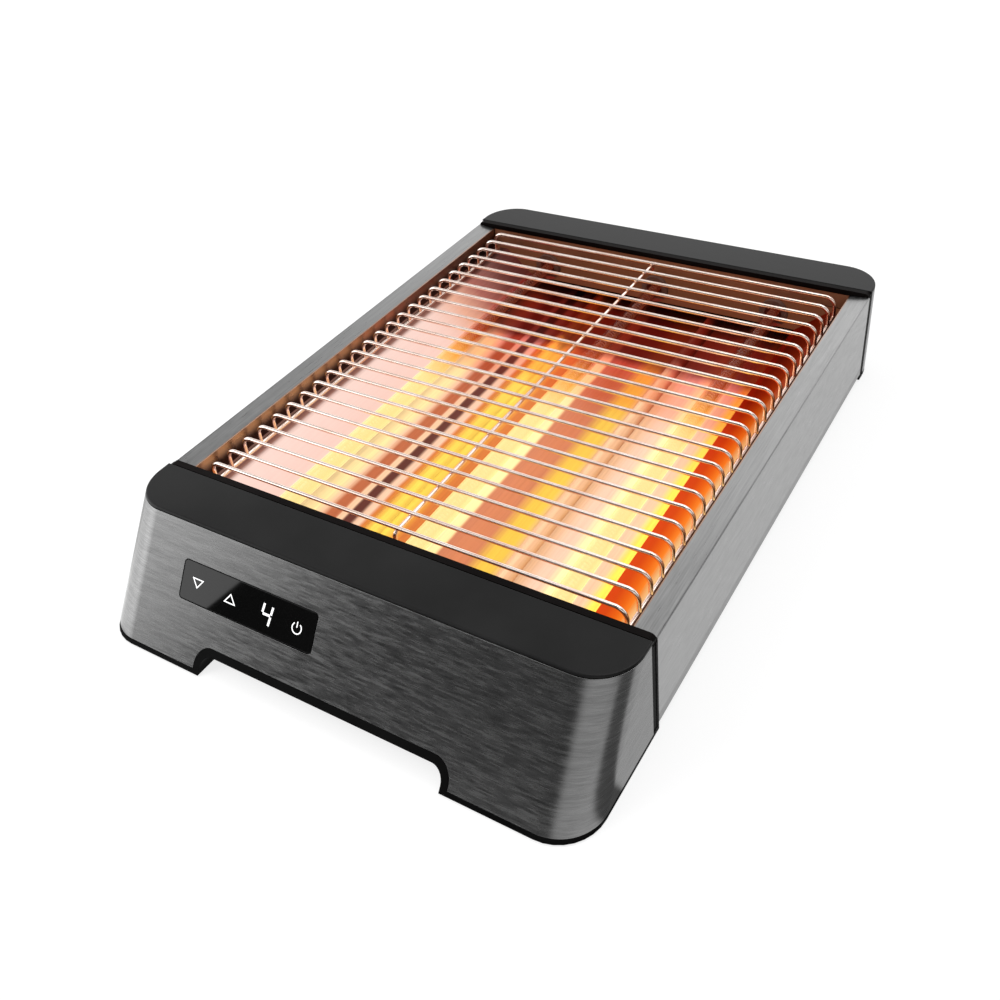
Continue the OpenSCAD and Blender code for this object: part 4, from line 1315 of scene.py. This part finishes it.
# Softboxes: place, size and whether metal mirrors them
SOFTBOX_POWER = 9.0
SOFTBOX_TARGET = (0, 0, 0.03)
SOFTBOXES = (
    ("key_softbox", (-0.9, -0.7, 1.3), (0.9, 0.9), False),
    ("top_softbox", (0.3, 0.4, 1.5), (1.2, 1.2), True),
)
for lamp_name, lamp_place, lamp_size, mirrored_in_metal in SOFTBOXES:
    softbox = add_lamp(lamp_name, lamp_place, lamp_size, SOFTBOX_POWER)
    softbox.visible_glossy = mirrored_in_metal
    aim(softbox, SOFTBOX_TARGET)

# Light of the heaters on whatever lies under them, yellow at the front, then orange and dull red:
# where each starts and ends along the body, its power and its colour
UNDER_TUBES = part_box("quartz_tube_centre")[0].z - 1 * MM
GLOW_WIDE = 188 * MM
HEATER_LIGHTS = (
    ("heater_light_front", -122 * MM, 70 * MM, 0.138, (1.0, 0.75, 0.50)),
    ("heater_light_middle", 70 * MM, 106 * MM, 0.026, (1.0, 0.28, 0.05)),
    ("heater_light_rear", 106 * MM, 194 * MM, 0.075, (1.0, 0.06, 0.035)),
)
for lamp_name, glow_from, glow_to, glow_power, glow_colour in HEATER_LIGHTS:
    glow_place = (0, (glow_from + glow_to) / 2, UNDER_TUBES)
    add_lamp(lamp_name, glow_place, (GLOW_WIDE, glow_to - glow_from), glow_power, glow_colour)


# Camera as fitted to the object's edges: turns in degrees, place from a point in the middle of the body
# near its foot, and focal length in millimetres on its sensor
CAMERA_TURNS = (34.77, 39.74, -5.89)
CAMERA_RIGHT = -28.7 * MM
CAMERA_UP = -28.9 * MM
CAMERA_BACK = 597.4 * MM
CAMERA_FOOT = 5 * MM
FOCAL_LENGTH = 36.69
SENSOR_WIDTH = 36.0


def make_camera():
    """Camera at the photograph's place, turned by its azimuth, elevation and roll."""
    azimuth, elevation, roll = (math.radians(angle) for angle in CAMERA_TURNS)
    back = Vector((math.sin(azimuth), -math.cos(azimuth), 0)) * math.cos(elevation)
    back.z = math.sin(elevation)
    level = Vector((math.cos(azimuth), math.sin(azimuth), 0))
    rise = back.cross(level)
    right = level * math.cos(roll) + rise * math.sin(roll)
    up = rise * math.cos(roll) - level * math.sin(roll)
    offset = right * CAMERA_RIGHT + up * CAMERA_UP + back * CAMERA_BACK
    middle = Vector((0, Y_MID, CAMERA_FOOT))
    lens = bpy.data.cameras.new("photo_camera")
    lens.sensor_width = SENSOR_WIDTH
    lens.lens = FOCAL_LENGTH
    lens.clip_start = 0.01
    camera = bpy.data.objects.new("photo_camera", lens)
    bpy.context.scene.collection.objects.link(camera)
    turn = Matrix((right, up, back)).transposed().to_4x4()
    camera.matrix_world = Matrix.Translation(middle + offset) @ turn
    bpy.context.scene.camera = camera


make_camera()
bpy.context.scene.view_settings.view_transform = "Standard"
